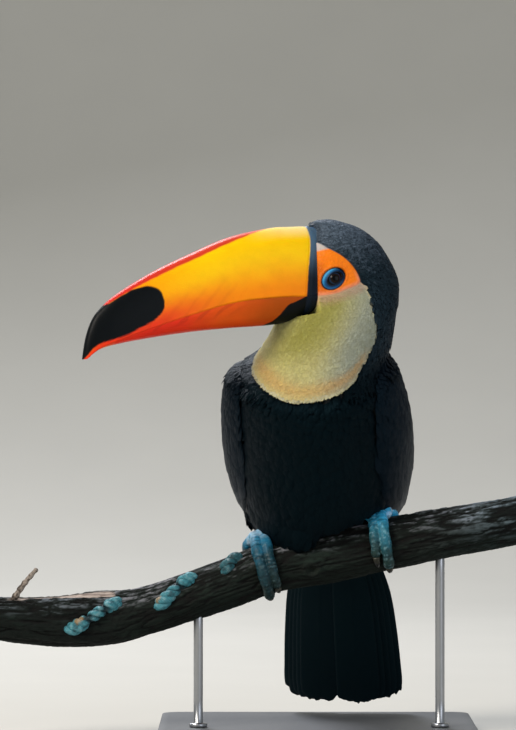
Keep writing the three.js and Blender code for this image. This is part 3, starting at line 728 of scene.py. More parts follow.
@dataclass(frozen=True)
class Markings:
    """The colours of skin and coat by place on the body. Both read them here, so they agree."""

    black: str = "#03080a"
    wing: str = "#080f16"
    # Painted sheen: the crown and the back of the neck are lighter and bluer than the black,
    # standing for light on the head.
    nape_sheen: str = "#1c272e"
    crown: str = "#55616f"
    bib: str = "#dbd08a"
    # Olive below the bill: partly the bib's yellow tint, partly painted shade. Grey on the side away
    # from the light: painted shade.
    throat_tint_and_shade: str = "#a19b48"
    bib_shaded_side: str = "#a8ae9b"
    peach: str = "#d9a35a"
    fringe: str = "#d2c99c"
    face: str = "#f27c00"
    # Painted shade on the bare face.
    face_shade: str = "#b84f04"
    face_low: str = "#e8906c"
    wedge: str = "#bdb2ac"
    rump: str = "#f2efe4"
    under_tail: str = "#b3160f"
    ring: str = "#0a5f96"
    # The ring's painted light: a painted highlight on its upper part and painted shade on its inner
    # part by the lids.
    ring_highlight: str = "#3fa6dc"
    ring_inner_shade: str = "#0a3560"
    lid: str = "#060c16"
    # Painted shade in the groove round the ring.
    groove: str = "#05060a"
    blush: str = "#d3a38c"

    def bib_edge(self, u: Array, v: Array) -> Array:
        """Distance in from the bib's outline, in rough millimetres."""
        spot = np.stack([signed(v) * MM_PER_DEGREE, u * MM_PER_SECTION], -1)
        return edge_distance(spot, BIB_EDGE)

    def face_edge(self, u: Array, v: Array) -> Array:
        """Distance in from the bare face's outline, in rough millimetres."""
        spot = np.stack([np.abs(signed(v)) * MM_PER_DEGREE, u * MM_PER_SECTION], -1)
        return edge_distance(spot, FACE_EDGE)

    def plumage(self, u: Array, v: Array) -> Array:
        """Colour of the feathers at a section and angle."""
        angle = signed(v)
        speck = rough_noise(np.stack([u * 9, np.asarray(v) * 0.35, 0 * u], -1), 117)
        from_back = np.abs(angle + CHEST_ANGLE)
        from_back = np.minimum(from_back, 360 - from_back)
        from_chest = np.abs(angle - CHEST_ANGLE)
        coat = painted(
            even(u[..., None], self.black),
            # Painted sheen: lighter on the crown and the back of the neck.
            (self.nape_sheen, smooth(10.5, 8.5, u)),
            (self.crown, smooth(5.6, 2.2, u + 0.8 * speck)),
            (self.rump, smooth(14.4, 14.8, u) * smooth(17.2, 17.0, u) * smooth(60, 50, from_back)),
            (self.under_tail, smooth(15.2, 15.6, u) * smooth(16.9, 16.7, u)
             * smooth(80, 70, from_chest)))
        inside = self.bib_edge(u, v)
        by_face = smooth(-8.5, -0.5, self.face_edge(u, v)) * smooth(5.2, 5.6, u)
        bib = painted(
            even(coat, self.bib),
            # Olive below the bill is yellow tint and painted shade; the grey side away from the
            # light is painted shade.
            (self.throat_tint_and_shade, 0.95 * (bell(angle, 52, 40) * smooth(10.6, 7.6, u))),
            (self.bib_shaded_side, 0.85 * smooth(66, 102, angle + 6 * (7 - u))),
            (self.peach, 0.65 * smooth(8.6, 9.4, u) * bell(inside, 5.0, 3.8)),
            (self.fringe, smooth(1.4, 0.6, inside)),
            (self.blush, 0.7 * by_face))
        return blend(coat, bib, smooth(-0.3, 0.3, inside))

    def skin(self, u: Array, v: Array, points: Array) -> Array:
        """Colour of the skin: the plumage's, with the bare face, the blue ring and the lids."""
        ahead, _, height = bill_coordinates(points)
        edge = self.face_edge(u, v)
        face = painted(
            even(points, self.face),
            # Painted shade on the face by the band and below the eye.
            (self.face_shade, 0.6 * (smooth(21, 28, ahead) * smooth(366, 352, height))),
            (self.face_low, 0.9 * (smooth(-3.5, 0, -edge) * smooth(4.9, 5.4, u))),
            (self.wedge, smooth(367.2, 369.2, height + 0.25 * (ahead - 24))))
        colour = blend(self.plumage(u, v), face, smooth(-0.4, 0.6, edge))
        for eye in EYES:
            ring, opening = eye.shares(points)
            # The ring is lighter above as painted highlight and darker inside by the lids as painted
            # shade.
            lit = dot(points - eye.centre, unit(np.array([0, 0, 1.0]) - eye.backward))
            blue = painted(even(points, self.ring), (self.ring_highlight, 0.8 * smooth(-1, 7, lit)),
                           (self.ring_inner_shade, smooth(1.75, 1.2, opening)))
            # Painted shade on the face just round the ring and in the groove round it.
            colour = painted(colour, (self.face_shade, 0.35 * bell(ring, 1.12, 0.2)))
            colour = blend(colour, blue, smooth(1.04, 1.0, ring))
            colour = painted(colour, (self.groove, np.clip(1.4 * bell(ring, 1.05, 0.06), 0, 1)),
                             (self.lid, smooth(1.25, 1.1, opening)))
        return colour


MARKINGS = Markings()


# ---- finishes


Socket = bpy.types.NodeSocket


@dataclass
class NodeKit:
    """Adds nodes to one material's tree. A grain or spacing is given in millimetres."""

    tree: bpy.types.NodeTree

    def add(self, kind: str, inputs: dict | None = None, out: str = "",
            **settings: object) -> Socket:
        """Add a node with its settings, constants and links.

        Args:
            kind: The node's type, without its first words.
            inputs: For each socket, by name or number, a constant or the socket to link from.
            out: The output to give back; the first one if left out.
            **settings: The node's own properties.

        Returns:
            One of the new node's outputs, or None where it has none.
        """
        node = self.tree.nodes.new("ShaderNode" + kind)
        for name, value in settings.items():
            setattr(node, name, value)
        for name, value in (inputs or {}).items():
            if isinstance(value, Socket):
                self.tree.links.new(value, node.inputs[name])
            else:
                node.inputs[name].default_value = value
        return node.outputs[out or 0] if node.outputs else None

    def place(self) -> Socket:
        """Object coordinates."""
        return self.add("TexCoord", out="Object")

    def noise(self, grain: float, detail: float = 3, stretch: tuple = (1, 1, 1)) -> Socket:
        """Noise on object coordinates."""
        scaled = self.add("Mapping", {"Vector": self.place(), "Scale": stretch})
        return self.add("TexNoise", {"Vector": scaled, "Scale": 1 / (grain * MM),
                                     "Detail": detail}, "Fac")

    def cells(self, grain: float, **settings: object) -> Socket:
        """Distance to the middle of rounded cells on object coordinates."""
        return self.add("TexVoronoi", {"Vector": self.place(), "Scale": 1 / (grain * MM)},
                        "Distance", **settings)

    def ridges(self, across: Socket, spacing: float) -> Socket:
        """Sine ridges square to a distance in millimetres."""
        turns = self.add("Math", {0: across, 1: FULL_TURN / spacing}, operation="MULTIPLY")
        return self.add("Math", {0: turns}, operation="SINE")

    def tint(self) -> Socket:
        """The colour that is kept at the piece's points."""
        return self.add("Attribute", out="Color", attribute_name="tint")

    def even(self, hex_colour: str) -> Socket:
        """One colour."""
        socket = self.add("RGB")
        socket.default_value = (*linear(hex_colour), 1)
        return socket

    def value(self, name: str) -> Socket:
        """A number that is kept at the piece's points."""
        return self.add("Attribute", out="Fac", attribute_name=name)

    def span(self, share: Socket, low: float, high: float) -> Socket:
        """Map a share from 0 to 1 onto a range."""
        return self.add("MapRange", {"Value": share, "To Min": low, "To Max": high}, "Result")

    def varied(self, colour: Socket, share: Socket, low: float, high: float) -> Socket:
        """Scale a colour's brightness between two factors by a share."""
        factor = self.span(share, low, high)
        return self.add("HueSaturation", {"Color": colour, "Value": factor}, "Color")

    def total(self, first: Socket, second: Socket, weight: float) -> Socket:
        """The first value plus the second times a weight."""
        return self.add("Math", {0: second, 1: weight, 2: first}, operation="MULTIPLY_ADD")


@dataclass(frozen=True)
class Finish:
    """A surface finish. Sub-classes add their own pattern in the method pattern."""

    name: str
    slot: str = ""
    roughness: float = 0.5
    specular: float = 0.5
    specular_colour: str = "#ffffff"
    metallic: float = 0.0
    coat: float = 0.0
    coat_roughness: float = 0.1
    sheen: float = 0.0
    sheen_colour: str = "#ffffff"
    under_skin: float = 0.0
    under_skin_reach: Triple = (1.0, 0.4, 0.2)
    bump: float = 0.3
    bump_depth: float = 0.3

    @cache
    def material(self) -> bpy.types.Material:
        """Build the material: the pattern's colour, roughness and height into one shader."""
        made = bpy.data.materials.new(self.name)
        made.use_nodes = True
        made.node_tree.nodes.clear()
        kit = NodeKit(made.node_tree)
        colour, roughness, height = self.pattern(kit)
        inputs = {
            "Base Color": colour,
            "Roughness": roughness,
            "Metallic": self.metallic,
            "Coat Weight": self.coat,
            "Coat Roughness": self.coat_roughness,
            "Sheen Weight": self.sheen,
            "Sheen Tint": (*linear(self.sheen_colour), 1),
            "Subsurface Weight": self.under_skin,
            "Subsurface Radius": self.under_skin_reach,
            "Subsurface Scale": MM,
        }
        if not self.metallic:
            inputs["Specular IOR Level"] = self.specular
            inputs["Specular Tint"] = (*linear(self.specular_colour), 1)
        if height is not None:
            inputs["Normal"] = kit.add("Bump", {
                "Height": height, "Strength": self.bump, "Distance": self.bump_depth * MM}, "Normal")
        kit.add("OutputMaterial", {"Surface": kit.add("BsdfPrincipled", inputs)})
        return made

    def pattern(self, kit: NodeKit) -> tuple:
        """Colour, roughness and height: a socket or a constant each, or None for no height."""
        raise NotImplementedError

    def rough(self, kit: NodeKit, share: Socket, less: float, more: float) -> Socket:
        """Roughness that a share varies from a little less to a little more."""
        return kit.span(share, self.roughness - less, self.roughness + more)


@dataclass(frozen=True)
class FeatherFinish(Finish):
    """Keratin barbs side by side: a soft, streaky sheen with fine lines slanting off the shaft."""

    barb_spacing: float = 0.5
    slant: float = 2.2

    def pattern(self, kit: NodeKit) -> tuple:
        """Barbs are sine ridges across the vane, slanting from its shaft."""
        across, along = kit.value("across"), kit.value("along")
        bent = kit.add("Math", {0: across}, operation="ABSOLUTE")
        ridge = kit.ridges(kit.total(along, bent, -self.slant), self.barb_spacing)
        grain = kit.noise(1.6)
        return kit.varied(kit.tint(), grain, 0.78, 1.25), self.rough(kit, grain, 0.08, 0.1), \
            kit.total(grain, ridge, 0.35)


@dataclass(frozen=True)
class BareSkinFinish(Finish):
    """Bare facial skin: moist and granular, lit through, with tiny rounded bumps."""

    grain: float = 0.75

    def pattern(self, kit: NodeKit) -> tuple:
        """Bumps are cells of the skin's grain over a broader unevenness."""
        broad = kit.noise(3.0)
        return kit.varied(kit.tint(), broad, 0.82, 1.14), self.rough(kit, broad, 0.08, 0.1), \
            kit.total(broad, kit.cells(self.grain), -0.6)


@dataclass(frozen=True)
class HornFinish(Finish):
    """Horn of the bill: satin and slightly lit through, with fine growth lines along it."""

    line_width: float = 0.9

    def pattern(self, kit: NodeKit) -> tuple:
        """Growth lines are noise drawn out along the piece; faint mottling varies the colour."""
        lines, mottle = kit.noise(self.line_width, 4, (0.35, 0.35, 1.0)), kit.noise(9.0)
        return kit.varied(kit.tint(), mottle, 0.9, 1.08), self.rough(kit, lines, 0.06, 0.1), \
            kit.total(lines, mottle, 1.2)


@dataclass(frozen=True)
class EyeFinish(Finish):
    """The wet front of an eye: a clear mirror-smooth coat over a dark iris."""

    def pattern(self, kit: NodeKit) -> tuple:
        """The iris's colour varies in fine fibres."""
        return kit.varied(kit.tint(), kit.noise(0.5), 0.7, 1.3), self.roughness, None


@dataclass(frozen=True)
class ScaleSkinFinish(Finish):
    """Scaly foot skin: leathery plates, pale on top as painted highlight and darker in the creases
    between them as painted shade.
    """

    plate: float = 1.5

    def pattern(self, kit: NodeKit) -> tuple:
        """Plates are rounded cells; their height and a grime noise set colour and roughness."""
        tops = kit.span(kit.cells(self.plate, feature="SMOOTH_F1"), 1.0, 0.0)
        grime = kit.noise(2.2)
        # Painted highlight on the plate tops and painted shade in the creases between them.
        colour = kit.varied(kit.varied(kit.tint(), tops, 0.72, 1.22), grime, 0.7, 1.3)
        return colour, self.rough(kit, grime, 0.1, 0.12), kit.total(tops, grime, 0.6)


@dataclass(frozen=True)
class BarkFinish(Finish):
    """Weathered bark: dried out, fibrous and matt, grey on its upward ridges as painted highlight
    and near black in its cracks as painted shade.
    """

    fibre: float = 1.1

    def pattern(self, kit: NodeKit) -> tuple:
        """Fibres are noise drawn out along the branch, with crumbly grit over them."""
        fibres, grit = kit.noise(self.fibre, 5, (0.13, 1, 1)), kit.noise(0.7, 4)
        colour = kit.varied(kit.varied(kit.tint(), fibres, 0.45, 1.6), grit, 0.8, 1.2)
        return colour, self.rough(kit, grit, 0.1, 0.08), kit.total(fibres, grit, 0.5)


@dataclass(frozen=True)
class RopeFinish(Finish):
    """Worn polypropylene rope: shiny teal yarns side by side with random pale scuffs, darker between
    the yarns as painted shade and lighter on their crowns as painted highlight.
    """

    yarn: float = 1.0

    def pattern(self, kit: NodeKit) -> tuple:
        """Yarns are sine ridges across the strand; scuffing is noise."""
        ridge = kit.ridges(kit.value("across"), self.yarn)
        scuff = kit.noise(1.4, 4)
        # Painted shade between the yarns and painted highlight on their crowns.
        colour = kit.varied(kit.varied(kit.tint(), scuff, 0.6, 1.4), ridge, 0.55, 1.15)
        return colour, self.roughness, kit.total(scuff, ridge, 0.7)


@dataclass(frozen=True)
class MetalFinish(Finish):
    """Brushed or painted steel: an even colour broken by fine grain."""

    colour: str = "#808285"
    grain: float = 0.8
    stretch: Triple = (1, 1, 1)

    def pattern(self, kit: NodeKit) -> tuple:
        """The grain of brushing or paint varies colour, roughness and height a little."""
        grain = kit.noise(self.grain, 3, self.stretch)
        return kit.varied(kit.even(self.colour), grain, 0.88, 1.12), \
            self.rough(kit, grain, 0.06, 0.08), grain


@dataclass(frozen=True)
class StudioFinish(Finish):
    """Painted studio floor: matt and pale with a faint unevenness."""

    colour: str = "#c6c4bd"

    def pattern(self, kit: NodeKit) -> tuple:
        """A broad, faint mottle."""
        mottle = kit.noise(160, 2)
        return kit.varied(kit.even(self.colour), mottle, 0.97, 1.03), self.roughness, None


PLUMAGE_FINISH = FeatherFinish(
    "black_contour_feathers", "plumage", roughness=0.46, specular=0.12, specular_colour="#6fb8d8",
    sheen=0.025, sheen_colour="#4a70b8", bump=0.4, bump_depth=0.2)
BIB_FINISH = FeatherFinish(
    "soft_bib_down", "bib", roughness=0.8, specular=0.05, sheen=0.05, under_skin=0.45,
    under_skin_reach=(2.4, 2.0, 1.2), bump=0.2, bump_depth=0.15, barb_spacing=0.8)
SKIN_FINISH = BareSkinFinish(
    "bare_face_skin", "plumage", roughness=0.5, specular=0.2, under_skin=0.12,
    under_skin_reach=(1.2, 0.4, 0.15), bump=0.5, bump_depth=0.22)
BILL_FINISH = HornFinish(
    "bill_horn", "bill_horn", roughness=0.4, specular=0.1, coat=0.02, coat_roughness=0.3,
    under_skin=0.15, under_skin_reach=(3.0, 1.2, 0.3), bump=0.2, bump_depth=0.3)
EYE_FINISH = EyeFinish("wet_eye", "eye", roughness=0.3, specular=0.06, coat=0.14,
                       coat_roughness=0.03)
FOOT_FINISH = ScaleSkinFinish("scaly_foot_skin", "foot_skin", roughness=0.46, specular=0.24,
                              under_skin=0.08, bump=0.7, bump_depth=0.35)
CLAW_FINISH = HornFinish("claw_horn", "claw_horn", roughness=0.35, specular=0.3, bump=0.3,
                         bump_depth=0.15, line_width=0.5)
BARK_FINISH = BarkFinish("weathered_bark", "bark", roughness=0.85, specular=0.2, bump=0.9,
                         bump_depth=0.6)
ROPE_FINISH = RopeFinish("worn_polypropylene_rope", "rope", roughness=0.5, specular=0.4,
                         bump=0.7, bump_depth=0.35)
STEEL_FINISH = MetalFinish(
    "brushed_steel_rod", "rod_steel", roughness=0.32, metallic=1.0, colour="#a8aaad", grain=0.35,
    stretch=(1, 1, 0.06), bump=0.12, bump_depth=0.05)
PAINT_FINISH = MetalFinish("powder_coated_steel", "base_paint", roughness=0.5, colour="#5d6064",
                           grain=0.6, bump=0.22, bump_depth=0.12)
FLOOR_FINISH = StudioFinish("matt_studio_floor", roughness=0.9, specular=0.2)


# ---- skin, bill and eyes


@dataclass
class Skin:
    """One unbroken skin over head, neck, trunk, wings and thighs, with the bare face in it."""

    body: BodyForm
    thighs: list["ThighForm"]
    rows: int = 250
    columns: int = 312
    thigh_rows: int = 30
    face_front: float = 26.5
    face_turn: float = 2.5

    def surface(self, u: Array, v: Array) -> Array:
        """Point of the skin at a section and angle.

        The bare face isn't sunk by the coat. Where the skin would pass the bill's root it
        bends round: what lies beyond the face's front is drawn in as tanh.
        """
        point = self.body.place(u, v)
        normal = self.body.slopes(u, v)[2]
        bare = smooth(-2.0, 1.5, MARKINGS.face_edge(u, v))
        grain = 0.16 * rough_noise(point / 1.5, 5) * bare
        point = point + normal * (self.body.depth(u) * bare + grain)[..., None]
        over = np.maximum(bill_coordinates(point)[0] - self.face_front, 0)
        point = point - AHEAD * (over - self.face_turn * np.tanh(over / self.face_turn))[..., None]
        lift = sum(eye.outward * eye.relief(point)[..., None] for eye in EYES)
        return point + lift

    def build(self) -> Shell:
        """Make the body's closed grid and a closed tube for each thigh."""
        u = spread(0, 18, self.rows,
                   lambda at: 1 + 2.4 * smooth(2.6, 3.4, at) * smooth(6.9, 6.1, at))
        v = spread(-180, 180, self.columns + 1,
                   lambda at: 1 + 4 * smooth(18, 30, np.abs(at)) * smooth(106, 96, np.abs(at)))
        section, angle = crossed(u, v[:-1])
        points = self.surface(section, angle)
        colours = MARKINGS.skin(section, angle, points)
        shares = (u / 18, (v + 180) / 360)
        shells = [closed_shell(points, colours, None, BODY_PATCH, shares)]
        for thigh in self.thighs:
            tube = thigh.place(*crossed(np.linspace(0, 1, self.thigh_rows),
                                        np.arange(32) / 32 * 360))
            shells.append(closed_shell(tube, even(tube, MARKINGS.black), None, thigh.patch))
        return joined(shells)

    def make(self) -> None:
        """Build the skin and let it stand for all nodes of flesh."""
        nodes = ("head", "neck", "trunk", "wing_left", "wing_right", "thigh_left", "thigh_right")
        make_piece("skin", self.build(), SKIN_FINISH, *nodes)


# Bill: rows of distance ahead, culmen height, gape height, keel height, half width.
BILL_SECTIONS = np.array([
    [26, 385.4, 334.5, 324.5, 18.5],
    [33, 385.7, 333.8, 319.5, 19],
    [43, 385.4, 333.3, 315.4, 19.2],
    [60, 384.2, 332.5, 312.4, 18.6],
    [92, 377, 328.8, 310, 16.6],
    [123, 364.2, 320.3, 307, 14.4],
    [154, 349.5, 310.1, 302.6, 11.8],
    [182, 332.5, 300, 297.4, 8.8],
    [194, 321.5, 294.8, 293.6, 6.6],
    [199, 313.6, 291, 290, 5.4],
    [202.9, 302.2, 287.4, 287, 3.8],
    [205.3, 289.2, 287, 286.6, 1.2],
])
# The dark band round the bill's root, pale at its top as a painted sky reflection: height, its rear
# and its front edge ahead.
BAND_EDGES = np.array([
    [310, 30.5, 38.5], [334.4, 30.3, 37.7], [352, 29.4, 36.2], [367, 26.1, 33.9],
    [376, 26, 32.9], [382.4, 27.8, 33.1], [386, 28.8, 33.3],
])
# The dark patch at the lower bill's root: height and its front edge ahead.
LOWER_PATCH = np.array([
    [308, 70], [312.5, 66.7], [315.3, 61.6], [320.4, 57.1], [327.3, 51.3], [330, 45.4], [334, 37.2],
])
TIP_PATCH = rounded([
    (186.6, 327.6), (176.1, 333.8), (166.3, 338.6), (157.6, 340.4), (151.5, 339.2),
    (147.9, 335.4), (146.1, 327.8), (148.3, 320.8), (155.1, 314.9), (165.5, 309.3),
    (174.3, 304.7), (183.2, 301.8), (191.8, 299.1), (198.1, 295.2), (202.9, 289.6),
    (210, 280), (212, 300), (205, 320),
])
# How far the red of the culmen reaches down, against the distance ahead.
CULMEN_RED = np.array([
    [58, 0], [75, 1.4], [89, 3.0], [110, 4.2], [150, 4.0], [170, 3.0], [186, 1.8]])


@dataclass
class BillHalf:
    """The upper or the lower half of the bill."""

    is_upper: bool
    rows: int = 400
    crown_columns: int = 108
    flat_columns: int = 30
    boxiness: Pair = (0.72, 0.8)
    lower_end: float = 196.5
    half_gap: float = -0.2

    def grid(self) -> Arrays:
        """Points, distances ahead and share of the section's height.

        Across the section x = sign(c)|c|^box times the half width and the rise is the
        crest's height times s, for c and s the cosine and sine of the angle; the gape side
        is flat but for small forward-pointing notches along its edges.
        """
        start = BILL_SECTIONS[0, 0]
        end = BILL_SECTIONS[-1, 0] if self.is_upper else self.lower_end
        share = np.linspace(0, 1, self.rows)
        ahead = start + (end - start) * (0.55 * share + 0.45 * np.sin(share * math.pi / 2))
        ahead = np.concatenate([ahead[:1], ahead, ahead[-1:]])
        row = row_at(BILL_SECTIONS, ahead)
        crown = np.linspace(0, math.pi, self.crown_columns)
        under = math.pi + pole_spaced(self.flat_columns + 2)[1:-1] * math.pi
        turn = np.concatenate([crown, under])
        c, s = np.cos(turn), np.maximum(np.sin(turn), 0)
        box = self.boxiness[0] if self.is_upper else self.boxiness[1]
        across = np.sign(c) * np.abs(c) ** box * row[:, 4:5]
        gape = row[:, 2:3] + (self.half_gap if self.is_upper else -self.half_gap)
        crest = row[:, 1:2] if self.is_upper else row[:, 3:4]
        notch = np.mod(ahead[:, None] / 5.2, 1) ** 2 * smooth(48, 62, ahead[:, None])
        notch = notch * smooth(193, 184, ahead[:, None]) * smooth(0.35, 0.0, s)
        base = gape + 0.12 * notch * np.sign(crest - gape)
        height = base + (crest - base) * s
        closed = np.zeros(len(ahead))
        closed[[0, -1]] = 1
        middle = (gape + crest) / 2
        across = np.where(closed[:, None] > 0, 0, across)
        height = np.where(closed[:, None] > 0, middle, height)
        points = HEAD_AXIS + AHEAD * ahead[:, None, None] + HEAD_LEFT * across[..., None]
        points[..., 2] = height
        share_up = (height - gape) / np.where(np.abs(crest - gape) < 0.1, 0.1, crest - gape)
        return points, ahead[:, None] + 0 * across, share_up

    def bead(self, points: Array, ahead: Array) -> Array:
        """Low rounded bead along the band at the root, with a fine groove before it."""
        edges = row_at(BAND_EDGES, np.clip(points[..., 2], 310, 386))
        share = (ahead - edges[..., 1]) / (edges[..., 2] - edges[..., 1])
        return 0.55 * bell(share, 0.55, 0.33) - 0.4 * bell(share, 1.06, 0.07)

    def colour(self, points: Array, ahead: Array, share: Array) -> Array:
        """Colours of the horn: yellow to orange, a red ridge and lower edge, black patches."""
        height = points[..., 2]
        cloud = rough_noise(points / 14, 31) * 0.5
        fine = rough_noise(points * (1 / 7, 1 / 7, 1 / 2.5), 37) * 0.5
        if self.is_upper:
            streak = smooth(0.2, 0.9, np.sin((ahead + 0.8 * height) / 1.7 + 3 * cloud) + 0.6 * fine)
            streak = streak * smooth(78, 100, ahead) * smooth(175, 150, ahead)
            depth = row_at(BILL_SECTIONS, ahead)[..., 1] - height
            reach = row_at(CULMEN_RED, np.clip(ahead, 58, 186))[..., 1]
            ridge = smooth(0.7, -0.7, depth - reach - 0.5 * fine) * smooth(56, 72, ahead)
            colour = painted(
                even(points, "#ff8e00"),
                ("#ffcc00", 0.97 * (smooth(0.05, 0.7, share + 0.05 * cloud)
                                    * smooth(185, 105, ahead))),
                # Painted highlight: pale cream along the top near the bill's root.
                ("#ffe9a8", 0.75 * (smooth(0.8, 1.0, share) * smooth(85, 40, ahead))),
                ("#e8321a", 0.97 * (smooth(85, 158, ahead)
                                    * smooth(0.6, 0.05, share + 0.1 * cloud))),
                ("#c84a08", 0.16 * streak * smooth(0.5, 0.1, share)),
                ("#cc1a24", 0.94 * ridge))
            black = edge_distance(np.stack([ahead, height], -1), TIP_PATCH) + 0.5 * fine
            black = smooth(-0.5, 0.5, black)
        else:
            streak = smooth(0.1, 0.8, np.sin((ahead + 1.1 * height) / 1.9 + 3 * cloud) + 0.6 * fine)
            streak = streak * smooth(80, 100, ahead) * smooth(172, 150, ahead)
            colour = painted(
                even(points, "#b44e06"),
                ("#ea5a10", smooth(60, 100, ahead + 8 * cloud)),
                ("#e8301a", smooth(90, 150, ahead + 10 * cloud)),
                ("#9c2a10", 0.3 * streak * smooth(0.6, 0.2, share)),
                ("#b8240e", 0.6 * smooth(0.6, 1.0, share)),
                ("#f0a060", 0.5 * smooth(180, 192, ahead)))
            front = row_at(LOWER_PATCH, np.clip(height, 308, 334))[..., 1]
            black = smooth(0.6, -0.6, ahead - front + 0.8 * fine)
        colour = colour * np.clip(1 + 0.04 * cloud + 0.03 * fine, 0.7, 1.3)[..., None]
        # Painted shade: a dark line along the gape near the root.
        line = np.exp(-((share / 0.02) ** 2)) * smooth(40, 50, ahead) * smooth(100, 70, ahead)
        colour = painted(colour, ("#05090c", black), ("#8a2c04", 0.5 * line))
        edges = row_at(BAND_EDGES, np.clip(height, 310, 386))
        inside = np.minimum(edges[..., 2] - ahead, ahead - edges[..., 1] + 3)
        # The band is dark; its pale top is a painted sky reflection.
        pale = smooth(345, 374, height + 1.5 * cloud)
        band = painted(even(colour, "#0c1622"), ("#4d6880", 0.9 * pale))
        return blend(colour, band, smooth(-0.5, 0.5, inside + 0.25 * fine))

    def make(self) -> None:
        """Build one half of the bill."""
        points, ahead, share = self.grid()
        colours = self.colour(points, ahead, share)
        centre = points.mean(axis=1, keepdims=True)
        points = points + unit(points - centre) * self.bead(points, ahead)[..., None]
        node = "bill_upper" if self.is_upper else "bill_lower"
        make_piece(f"{node}_horn", closed_shell(points, colours), BILL_FINISH, node)


@dataclass
class Eye:
    """An eyeball with a clear bulge in front, a dark iris and a black pupil."""

    place: EyePlace
    rows: int = 90
    columns: int = 72
    pupil: float = 2.0
    iris: float = 4.1
    bulge: float = 0.55

    def make(self) -> None:
        """Build the ball, its poles on the line of sight."""
        eye = self.place
        c, s = math.cos(math.radians(eye.tilt)), math.sin(math.radians(eye.tilt))
        long_axis = eye.backward * c + eye.upward * s
        short_axis = eye.upward * c - eye.backward * s
        shift = long_axis * eye.opening_shift[0] + short_axis * eye.opening_shift[1]
        sight = unit(eye.outward * eye.radius + shift)
        first = unit(np.cross(sight, [0, 0, 1]))
        second = np.cross(sight, first)
        polar = np.linspace(0, 1, self.rows) ** 1.4 * math.pi
        turn = ring_angles(self.columns)
        off_axis = eye.radius * np.sin(polar)
        front = polar < math.pi / 2
        swell = np.where(front, self.bulge * smooth(4.6, 2.0, off_axis), 0)
        reach = eye.radius + swell
        ring = first * np.cos(turn)[:, None] + second * np.sin(turn)[:, None]
        points = eye.centre + sight * (reach * np.cos(polar))[:, None, None] \
            + ring * (reach * np.sin(polar))[:, None, None]
        off = np.where(front, off_axis, 9)[:, None] + np.zeros(self.columns)
        fibres = 0.5 + 0.5 * np.sin(turn * 37 + 2 * np.sin(turn * 11))
        colour = painted(
            even(points, "#0a0503"), ("#1f1008", fibres + 0 * off),
            ("#0f2a44", smooth(self.iris - 1.0, self.iris - 0.2, off)),
            ("#010102", smooth(self.pupil + 0.2, self.pupil - 0.2, off)),
            ("#05070a", smooth(self.iris, self.iris + 0.4, off)))
        word = eye.side.word
        make_piece(f"eyeball_{word}", closed_shell(points, colour), EYE_FINISH, f"eye_{word}")


# ---- perch, rope and stand

PERCH_Y = 12
PERCH_SECTIONS = np.array([
    [-262, 93.5, 15], [-238.5, 92.2, 15.5], [-195.8, 90.2, 18.5], [-169.5, 90.8, 20],
    [-148.5, 92.5, 19], [-126, 98.5, 17.2], [-73.5, 116.5, 17.6], [-32.3, 131.2, 18.5],
    [12.8, 139.9, 19.3], [61.5, 149.2, 18.7], [106.5, 158.2, 18], [148.5, 166.5, 17.2],
    [172, 171.5, 17],
])


def perch_centre(x: Array) -> Arrays:
    """Centre and radius of the perch at x."""
    row = row_at(PERCH_SECTIONS, x)
    x = np.asarray(x, float)
    return np.stack([x, PERCH_Y + 0 * x, row[..., 1]], -1), row[..., 2]


def perch_axes(x: Array) -> Arrays:
    """The perch's direction at x and the upward direction square to it."""
    x = np.asarray(x, float)
    along = unit(perch_centre(x + 2)[0] - perch_centre(x - 2)[0])
    return along, np.stack([-along[..., 2], 0 * x, along[..., 0]], -1)


def off_perch(x: Array, reach: Array, degrees: Array) -> Array:
    """Point at a reach from the perch's centre at x and an angle from its top to its front."""
    turn = np.radians(degrees)
    point = perch_centre(x)[0] + perch_axes(x)[1] * (reach * np.cos(turn))[..., None]
    point[..., 1] -= reach * np.sin(turn)
    return point


def around_perch(x: Array, along_by: Array, degrees: Array, out: Array) -> Array:
    """Point at a distance along the perch from x, at an angle and out from its surface."""
    x, along_by, degrees, out = np.broadcast_arrays(*(np.asarray(k, float) for k in
                                                      (x, along_by, degrees, out)))
    moved = (perch_centre(x)[0] + perch_axes(x)[0] * along_by[..., None])[..., 0]
    return off_perch(moved, perch_centre(moved)[1] + out, degrees)


